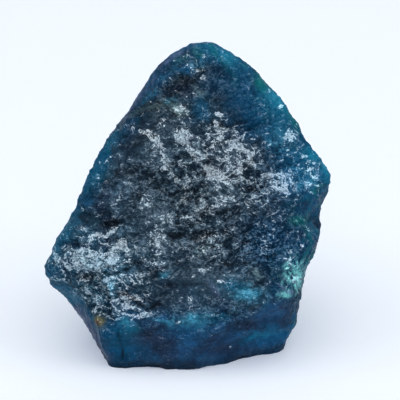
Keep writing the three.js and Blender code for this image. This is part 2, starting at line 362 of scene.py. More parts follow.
@dataclass(frozen=True)
class StoneBody:
    """The stone without its relief: an outline with thin rims, cut by facets.

    Attributes:
        lean: How far the broad face leans back from upright, in radians.
        middle_height: Height of the stone's middle above the floor.
        edge_power: Crispness of the edges between facets.
        outline: The outline seen square to the broad face, anticlockwise from the right tip.
        rim: The rim by direction round the outline.
        wander_height: How far the widest line wanders forwards and back.
        wander_turns: About how many times it does so on the way round.
        wander_field: The part of the noise field that the wandering reads.
        facets: The facets by name.
    """

    lean: float = math.radians(25.0)
    middle_height: float = 19.6
    edge_power: float = 26.0
    outline: tuple[Pair, ...] = (
        (23.3, 6.7), (20.9, 9.5), (18.8, 11.5), (15.1, 17.2), (10.8, 22.4), (8.4, 24.5),
        (6.5, 26.0), (3.4, 27.4), (1.0, 28.0), (-2.0, 26.7), (-4.3, 24.9), (-7.8, 19.8),
        (-11.6, 14.2), (-13.3, 11.8), (-16.2, 6.8), (-17.2, 4.2), (-18.1, 1.0), (-21.1, -3.7),
        (-22.4, -6.6), (-23.4, -8.6), (-23.0, -10.2), (-20.0, -13.9), (-16.0, -18.6),
        (-13.9, -23.6), (-13.2, -26.6), (14.6, -24.8), (15.5, -21.0), (16.8, -18.0),
        (17.4, -14.2), (18.3, -9.8), (20.6, -4.7), (21.3, -2.2), (21.3, 0.2), (22.3, 4.2),
    )
    rim: tuple[RimMark, ...] = (
        RimMark(15.0, 2.5, 0.6, 0.55),
        RimMark(48.0, 1.5, 0.5, 0.35),
        RimMark(85.0, 1.4, 0.3, 0.4),
        RimMark(118.0, -1.0, 0.14, 0.3),
        RimMark(155.0, 3.0, 0.35, 0.3),
        RimMark(200.0, 4.0, 0.5, 0.6),
        RimMark(228.0, -2.0, 0.12, 0.4),
        RimMark(262.0, 3.0, 0.0, 0.1),
        RimMark(318.0, 1.0, 0.12, 0.3),
        RimMark(345.0, 2.0, 0.3, 0.3),
    )
    wander_height: float = 2.6
    wander_turns: float = 3.0
    wander_field: float = 31.0
    facets: dict[str, Facet] = field(
        default_factory=lambda: {
            "broad_face": Facet((0.04, 0.1, 1.0), (0.0, 0.0, 9.8)),
            "crown": Facet((-0.05, 0.42, 1.0), (0.0, 15.5, 8.0)),
            "right_flank": Facet((0.52, 0.26, 1.0), (13.5, 4.0, 8.8)),
            "left_flank": Facet((-0.55, 0.3, 1.0), (-14.2, 3.0, 9.2)),
            "lower_left_corner": Facet((-0.34, -0.06, 1.0), (-15.0, -11.0, 10.0)),
            "foot_left": Facet((-0.03, -0.68, 1.0), (-5.0, -24.6, 6.3)),
            "foot_right": Facet((0.6, -1.07, 1.0), (2.9, -24.3, 5.7)),
            "back_face": Facet((0.12, 0.16, -1.0), (0.0, 0.0, -10.6)),
            "back_crown": Facet((-0.24, 0.6, -1.0), (1.0, 13.0, -8.8)),
            "back_left": Facet((-0.85, 0.05, -1.0), (-12.0, -2.0, -7.4)),
            "back_right": Facet((0.9, -0.2, -1.0), (12.0, 0.0, -7.6)),
            "back_foot": Facet((-0.2, -0.34, -1.0), (0.0, -10.0, -12.0)),
        }
    )

    def outline_radius(self, angle: np.ndarray) -> np.ndarray:
        """Find how far the outline is from the middle.

        Along the edge from (u0, v0) to (u1, v1) the radius at an angle a is
        (u0 v1 - v0 u1) / (cos a (v1 - v0) - sin a (u1 - u0)).

        Args:
            angle: Angles from +u in the face's plane, from 0 to a full turn.

        Returns:
            The radius at each angle.
        """
        corners = np.array(self.outline)
        turns = np.arctan2(corners[:, 1], corners[:, 0]) % math.tau
        order = np.argsort(turns)
        corners, turns = corners[order], turns[order]
        after = np.searchsorted(turns, angle, side="right") % len(turns)
        (u0, v0), (u1, v1) = corners[after - 1].T, corners[after].T
        return (u0 * v1 - v0 * u1) / (np.cos(angle) * (v1 - v0) - np.sin(angle) * (u1 - u0))

    def rims(self, rays: np.ndarray) -> Rims:
        """Look up the rim along each ray, blended smoothly between the marks on either side.

        Args:
            rays: Unit rays, one row of three each.

        Returns:
            The rim's values for each ray.
        """
        angle = np.arctan2(rays[:, 1], rays[:, 0]) % math.tau
        marks = np.array([[m.angle, m.ahead, m.front, m.back] for m in self.rim])
        turns = np.radians(marks[:, 0])
        after = np.searchsorted(turns, angle, side="right") % len(turns)
        gap = (turns[after] - turns[after - 1]) % math.tau
        share = smooth_step(0.0, 1.0, (angle - turns[after - 1]) % math.tau / gap)[:, None]
        _, ahead, front, back = (marks[after - 1] + (marks[after] - marks[after - 1]) * share).T
        circle = self.wander_turns * np.stack([np.cos(angle), np.sin(angle)], axis=1)
        wandering = noise(np.column_stack([circle, np.full(len(angle), self.wander_field)]))
        ahead = ahead + self.wander_height * wandering
        return Rims(self.outline_radius(angle), ahead, front, back)

    def barriers(self, rays: np.ndarray, rims: Rims) -> dict[str, np.ndarray]:
        """Work out one over the distance at which the rim or each facet would stop each ray.

        A facet with outward direction n through the point p stops the ray e at (n.p) / (n.e).
        The rim is two cones that meet in the widest line, and the nearer of them counts.

        Args:
            rays: Unit rays, one row of three each.
            rims: The rim along each ray.

        Returns:
            The barriers by name, none below zero.
        """
        across, out = np.hypot(rays[:, 0], rays[:, 1]), rays[:, 2]
        before = (across + rims.front * out) / (rims.radius + rims.front * rims.ahead)
        behind = (across - rims.back * out) / (rims.radius - rims.back * rims.ahead)
        found = {"rim": np.maximum(np.maximum(before, behind), 0.0)}
        for name, facet in self.facets.items():
            outward = np.array(facet.faces)
            found[name] = np.maximum(rays @ outward / (outward @ np.array(facet.through)), 0.0)
        return found

    def reach(self, barriers: dict[str, np.ndarray]) -> tuple[np.ndarray, dict[str, np.ndarray]]:
        """Find how far the body reaches: one over the power mean of the barriers.

        Args:
            barriers: The barriers of each ray, by name.

        Returns:
            The distances, and each barrier's share of the mean, which marks out its facet.
        """
        powers = {name: bar**self.edge_power for name, bar in barriers.items()}
        total = sum(powers.values())
        return total ** (-1.0 / self.edge_power), {n: p / total for n, p in powers.items()}

    def stood(self, points: np.ndarray) -> np.ndarray:
        """Turn points from the face's frame into the stone's own, whose floor is at height 0.

        Args:
            points: Points in the face's frame, one row of three each.

        Returns:
            The same points in the stone's frame.
        """
        u, v, w = points.T
        cos, sin = math.cos(self.lean), math.sin(self.lean)
        return np.stack([u, v * sin - w * cos, v * cos + w * sin + self.middle_height], axis=1)


# ---- The relief ----------------------------------------------------------------------------------


@dataclass(frozen=True)
class Dent:
    """A dent in the front: its middle, half-widths along and across, turn in degrees and depth."""

    at: Pair
    half: Pair
    turn: float
    depth: float


@dataclass(frozen=True)
class Scoop:
    """A shell-shaped hollow where a flake broke off: its middle, radius and depth."""

    at: Triple
    radius: float
    depth: float


@dataclass(frozen=True)
class Chips:
    """Shallow bowls that meet in crisp ridges.

    Attributes:
        size: How wide a bowl is.
        height: How high the ridges stand.
        stretch: How far the bowls are drawn out along the growth layers.
        field: How far along the noise field the bowls are read.
    """

    size: float
    height: float
    stretch: float
    field: float = 0.0


@dataclass(frozen=True)
class StoneRelief:
    """What stands out of the body and what is sunk into it.

    Attributes:
        lip: The lip of the step below the crown, through these points of the face.
        step_depth: How deep that step is.
        step_slope: How wide its slope is.
        step_fades: Where along u the step begins and ends to fade.
        step_left: The share of its depth that is left there.
        dents: The dents of the front.
        scoops: The scoops of the back and sides.
        layer_spacing: How far apart the growth layers are.
        layer_height: How high a layer's ledge stands.
        layer_rise: How fast the layers rise to the right.
        wave_height: How high the layers' waves are.
        wave_length: How long those waves are.
        patch: How wide the patches with ledges are.
        brink: Where in its spacing a layer ends.
        patch_edge: The noise at which a patch begins, and at which its ledges are full.
        lump_size: How wide the lumps are.
        lump_height: How high they are.
        fields: The parts of the noise field that the lumps, waves, patches and layers read.
        chip_level: The squared distance to a site at which a chip has no height.
        chips: The broad chips.
        crumbs: The finer chips, which only this visual surface has.
        rim_band: Where along the outline's radius the rim begins, and where it is full.
        crumb_loss: How much of the crumbs the rim loses.
        rim_share: The share of the relief that is left along the rim's widest line.
        rim_width: Half the width of that gentler line.
        front_begins: Distance in front of the middle at which the front's relief begins.
        front_full: Distance at which it has its full height.
    """

    lip: tuple[Pair, ...] = (
        (-14.0, 12.8), (-11.0, 14.7), (-7.5, 17.0), (-4.2, 17.6), (-1.6, 15.8), (1.5, 13.2),
        (6.0, 12.2), (12.0, 13.4), (24.0, 17.0),
    )
    step_depth: float = 1.3
    step_slope: float = 0.9
    step_fades: Pair = (4.0, 16.0)
    step_left: float = 0.3
    dents: tuple[Dent, ...] = (
        Dent((-2.5, -13.4), (7.5, 2.3), 6.0, 1.0),
        Dent((18.6, -1.4), (4.6, 2.6), -14.0, 1.3),
        Dent((16.4, -10.4), (2.8, 2.2), 20.0, 1.0),
        Dent((-15.2, -3.6), (5.4, 1.2), 20.0, 1.0),
        Dent((-8.4, -5.0), (4.2, 1.0), 14.0, 0.8),
        Dent((5.2, -5.9), (6.5, 1.1), 4.0, 0.75),
        Dent((8.2, 21.0), (3.4, 2.4), -40.0, 0.6),
        Dent((-4.2, 21.4), (4.8, 1.5), 40.0, 0.7),
        Dent((-11.5, 8.4), (4.4, 3.2), 40.0, 0.8),
        Dent((-17.4, -12.6), (3.6, 2.2), -48.0, 0.7),
        Dent((11.6, 9.6), (5.0, 2.0), -52.0, 0.6),
    )
    scoops: tuple[Scoop, ...] = (
        Scoop((-9.0, 8.0, -10.0), 9.0, 1.8),
        Scoop((9.0, -8.0, -10.0), 10.0, 1.7),
        Scoop((10.0, 14.0, -5.0), 7.0, 1.3),
        Scoop((-16.0, -9.0, -6.0), 7.0, 1.4),
        Scoop((19.0, -6.0, -2.0), 6.0, 1.0),
    )
    layer_spacing: float = 3.4
    layer_height: float = 0.75
    layer_rise: float = 0.24
    wave_height: float = 3.6
    wave_length: float = 12.0
    patch: float = 7.0
    brink: float = 0.7
    patch_edge: Pair = (-0.35, 0.45)
    lump_size: float = 8.0
    lump_height: float = 0.6
    fields: tuple[float, float, float, float] = (7.0, 3.0, 5.0, 3.0)
    chip_level: float = 0.4
    chips: Chips = Chips(4.2, 1.1, 1.35)
    crumbs: tuple[Chips, ...] = (
        Chips(2.4, 1.2, 1.3, 11.0),
        Chips(1.25, -1.0, 1.2, 23.0),
        Chips(0.7, 0.6, 1.1, 37.0),
    )
    rim_band: Pair = (0.9, 0.99)
    crumb_loss: float = 0.6
    rim_share: float = 0.3
    rim_width: float = 2.5
    front_begins: float = -1.0
    front_full: float = 4.0

    def _chipped(self, points: np.ndarray, chips: Chips) -> np.ndarray:
        """Work out the height of chips: the squared distance to the nearest of scattered sites.

        Args:
            points: Points of the body, one row of three each.
            chips: The size and height of the chips.

        Returns:
            The height at each point.
        """
        u, v, w = points.T
        along = (u + self.layer_rise * v) / (chips.size * chips.stretch)
        over = (v - self.layer_rise * u) / chips.size
        place = np.stack([along, over, w / chips.size + chips.field], axis=1)
        return chips.height * (nearest_site(place) ** 2 - self.chip_level)

    def _roughness(self, points: np.ndarray) -> np.ndarray:
        """Work out the height of the lumps, ledges and broad chips, which cover the whole stone.

        A ledge is a saw-tooth of the height above the growth layers, which rise to the right and
        wave, and each layer stands out by its own amount, in patches.

        Args:
            points: Points of the body, one row of three each.

        Returns:
            The height at each point.
        """
        u, v, _ = points.T
        lump_field, wave_field, patch_field, layer_field = self.fields
        lumps = self.lump_height * noise(points / self.lump_size + (0.0, 0.0, lump_field))
        wave = self.wave_height * noise(points / self.wave_length + (0.0, 0.0, wave_field))
        place = (v - self.layer_rise * u + wave) / self.layer_spacing
        layer = np.floor(place)
        share = place - layer
        own = lattice_value(layer, np.full_like(layer, layer_field), np.zeros_like(layer))
        standing = 0.5 + 0.5 * own
        patchy = noise(points / self.patch + (0.0, 0.0, patch_field))
        tooth = share - smooth_step(self.brink, 1.0, share)
        ledges = self.layer_height * standing * smooth_step(*self.patch_edge, patchy) * tooth
        return lumps + ledges + self._chipped(points, self.chips)

    def _front(self, u: np.ndarray, v: np.ndarray) -> np.ndarray:
        """Work out the height of the step below the crown and of the dents.

        The step falls smoothly over its slope above the lip. A dent's depth falls from its middle
        as exp(-r^2), with r measured in its half-widths.

        Args:
            u: How far to the right each point lies.
            v: How far up the face it lies.

        Returns:
            The height at each point, which only the front has.
        """
        lip_u, lip_v = np.array(self.lip).T
        over_lip = smooth_step(0.0, self.step_slope, v - np.interp(u, lip_u, lip_v))
        fading = 1.0 - (1.0 - self.step_left) * smooth_step(*self.step_fades, u)
        height = -self.step_depth * over_lip * fading
        for dent in self.dents:
            along, over = turned(u - dent.at[0], v - dent.at[1], dent.turn)
            square = (along / dent.half[0]) ** 2 + (over / dent.half[1]) ** 2
            height -= dent.depth * np.exp(-square)
        return height

    def _scooped(self, points: np.ndarray) -> np.ndarray:
        """Work out the depth of the scoops: bowls, 1 - r^2, that end in a crisp edge at r = 1.

        Args:
            points: Points of the body, one row of three each.

        Returns:
            The depth at each point.
        """
        depth = np.zeros(len(points))
        for scoop in self.scoops:
            distance = np.linalg.norm(points - np.array(scoop.at), axis=1) / scoop.radius
            depth += scoop.depth * np.maximum(0.0, 1.0 - distance**2)
        return depth

    def height(
        self, points: np.ndarray, rims: Rims, ruggedness: np.ndarray
    ) -> tuple[np.ndarray, np.ndarray]:
        """Add up the relief, which is gentler along the rim's widest line.

        Args:
            points: Points of the body, one row of three each.
            rims: The rim along each point's ray.
            ruggedness: The share of the crumbs that each point keeps.

        Returns:
            The height at each point, and the crumbs' own part of it.
        """
        u, v, w = points.T
        on_rim = smooth_step(*self.rim_band, np.hypot(u, v) / rims.radius)
        from_line = (w - rims.ahead) / self.rim_width
        kept = 1.0 - (1.0 - self.rim_share) * on_rim * np.exp(-(from_line**2))
        on_front = smooth_step(self.front_begins, self.front_full, w)
        broad = self._roughness(points) + on_front * self._front(u, v) - self._scooped(points)
        crumbs = ruggedness * sum(self._chipped(points, chips) for chips in self.crumbs)
        crumbs *= 1.0 - self.crumb_loss * on_rim
        return kept * broad + crumbs, crumbs


# ---- Colours -------------------------------------------------------------------------------------


def linear(red: int, green: int, blue: int) -> Colour:
    """Turn a colour of 0 to 255 as seen on a screen into linear light.

    A part s of 1 becomes ((s + 0.055) / 1.055)^2.4, or s / 12.92 where s is at most 0.04045.

    Args:
        red: The red part.
        green: The green part.
        blue: The blue part.

    Returns:
        The three parts in linear light, from 0 to 1.
    """
    shares = [value / 255.0 for value in (red, green, blue)]
    return tuple(s / 12.92 if s <= 0.04045 else ((s + 0.055) / 1.055) ** 2.4 for s in shares)


@dataclass(frozen=True)
class Cloud:
    """Cloudy noise of one size, read at its own place in the noise field."""

    size: float
    place: float

    def at(self, points: np.ndarray) -> np.ndarray:
        """Look the noise up at each point."""
        return mottle(points, self.size, self.place)


@dataclass(frozen=True)
class Patch:
    """A patch of colour or frost on the front.

    Attributes:
        at: Its middle on the face.
        half: Its half-widths along and across.
        turn: Its turn in degrees.
        strength: How much it covers at its middle.
        ragged: How strongly noise breaks up its edge.
        least_fall: The least that noise leaves of the cover's fall from the middle.
    """

    at: Pair
    half: Pair
    turn: float
    strength: float
    ragged: float = 0.5
    least_fall: float = 0.4

    def cover(self, points: np.ndarray, ragged_noise: np.ndarray) -> np.ndarray:
        """Work out how much of each point the patch covers.

        The cover falls from the middle as exp(-f r^2), where noise makes f uneven.

        Args:
            points: Points of the surface, one row of three each.
            ragged_noise: Noise from -1 to 1 at each point.

        Returns:
            The cover, from 0 to the patch's strength.
        """
        u, v, w = points.T
        along, over = turned(u - self.at[0], v - self.at[1], self.turn)
        square = (along / self.half[0]) ** 2 + (over / self.half[1]) ** 2
        spread = np.exp(-square * np.maximum(1.0 + self.ragged * ragged_noise, self.least_fall))
        return self.strength * spread * smooth_step(*FRONT, w)

    def plain_cover(self, points: np.ndarray) -> np.ndarray:
        """Work out the cover of the patch with an even edge."""
        return self.cover(points, np.zeros(len(points)))


# The smooth, bare hollow above the foot.
HOLLOW = Patch((1.5, -11.4), (9.5, 3.2), 2.0, 1.0, 0.3)


@dataclass(frozen=True)
class Stroke:
    """A narrow line on the front: a crack, or a painted ledge shadow, highlight or reflection.

    Attributes:
        path: The points of the face that it runs through.
        width: Half its width.
        strength: How much it covers at its middle.
        depth: How deep it is sunk, below zero where it stands out.
        uneven: How much noise changes its width.
        broken: The noise at which the line is gone, and at which it is whole.
    """

    path: tuple[Pair, ...]
    width: float
    strength: float
    depth: float = 0.0
    uneven: float = 0.5
    broken: Pair = (-0.9, 0.1)

    def cover(self, points: np.ndarray, ragged_noise: np.ndarray) -> np.ndarray:
        """Work out how much of each point the stroke covers.

        With d the distance to the nearest straight piece a-b of the path, found at the share
        t = (p - a).(b - a) / |b - a|^2 of its length, the cover is exp(-(d / width)^2). It is
        thinner where the noise is low, and gone where it is lowest.

        Args:
            points: Points of the surface, one row of three each.
            ragged_noise: Noise from -1 to 1 at each point, which makes the width uneven.

        Returns:
            The cover, from 0 to the stroke's strength.
        """
        place = points[:, :2]
        nearest = np.full(len(points), np.inf)
        for start, end in zip(np.array(self.path[:-1]), np.array(self.path[1:])):
            piece = end - start
            share = np.clip((place - start) @ piece / (piece @ piece), 0.0, 1.0)
            away = np.linalg.norm(place - start - share[:, None] * piece, axis=1)
            nearest = np.minimum(nearest, away)
        spread = np.exp(-((nearest / (self.width * (1.0 + self.uneven * ragged_noise))) ** 2))
        whole = smooth_step(*self.broken, ragged_noise) * smooth_step(*FRONT, points[:, 2])
        return self.strength * spread * whole


class Tint(Enum):
    """The colours of the stone, in linear light."""

    INK = linear(8, 14, 26)
    DUSK = linear(8, 32, 56)
    NAVY = linear(14, 48, 76)
    LILAC = linear(120, 132, 168)
    MIST = linear(120, 146, 150)
    SLATE = linear(84, 106, 121)
    SOOT = linear(56, 75, 91)
    SHALE = linear(36, 78, 102)
    PLUM = linear(38, 58, 88)
    TEAL = linear(8, 104, 134)
    GREEN = linear(10, 122, 122)
    BLUE = linear(4, 82, 118)
    DEEP = linear(4, 66, 94)
    MARINE = linear(10, 108, 152)
    BRIGHT = linear(24, 140, 168)
    TURQUOISE = linear(156, 236, 236)
    CYAN = linear(84, 174, 202)
    STEEL = linear(88, 100, 130)
    GOLD = linear(136, 134, 98)
    RUST = linear(84, 54, 22)


@dataclass(frozen=True)
class Skin:
    """The stone's surface, as its colours, frost and grain look it up.

    Attributes:
        points: Points of the surface, one row of three each.
        rims: The rim along each point's ray.
        shares: The share of each facet.
        above_floor: Height of each point above the floor.
        pane: Where the upper right is clear and blue.
    """

    points: np.ndarray
    rims: Rims
    shares: dict[str, np.ndarray]
    above_floor: np.ndarray
    pane: Patch

    def foot(self) -> np.ndarray:
        """Add up the shares of the foot's two facets."""
        return self.shares["foot_left"] + self.shares["foot_right"]

    def inward(self) -> np.ndarray:
        """Work out how far inside the outline each point lies."""
        return self.rims.radius - np.hypot(self.points[:, 0], self.points[:, 1])


class Zone(Enum):
    """The parts of the stone that a wash of colour may lie on."""

    ALL = "all of it"
    CORE = "the greyer middle of the broad face"
    AROUND_CORE = "that middle, and thinly all round it"
    RIMS = "the clear rims and the back"
    FOOT = "the foot"
    INNER_FOOT = "the foot without its left end"


@dataclass(frozen=True)
class Wash:
    """A tint on one zone of the stone, which lies where a sum of noises is high.

    Attributes:
        zone: The zone.
        tint: The tint.
        strength: How much it covers at most.
        rise: The sum at which it begins, and at which it is full.
        broad: The share of the broad noise in the sum.
        fine: The share of the fine noise.
        right: How much higher the sum is on the right side.
    """

    zone: Zone
    tint: Tint
    strength: float
    rise: Pair = (-2.0, -1.0)
    broad: float = 0.0
    fine: float = 0.0
    right: float = 0.0


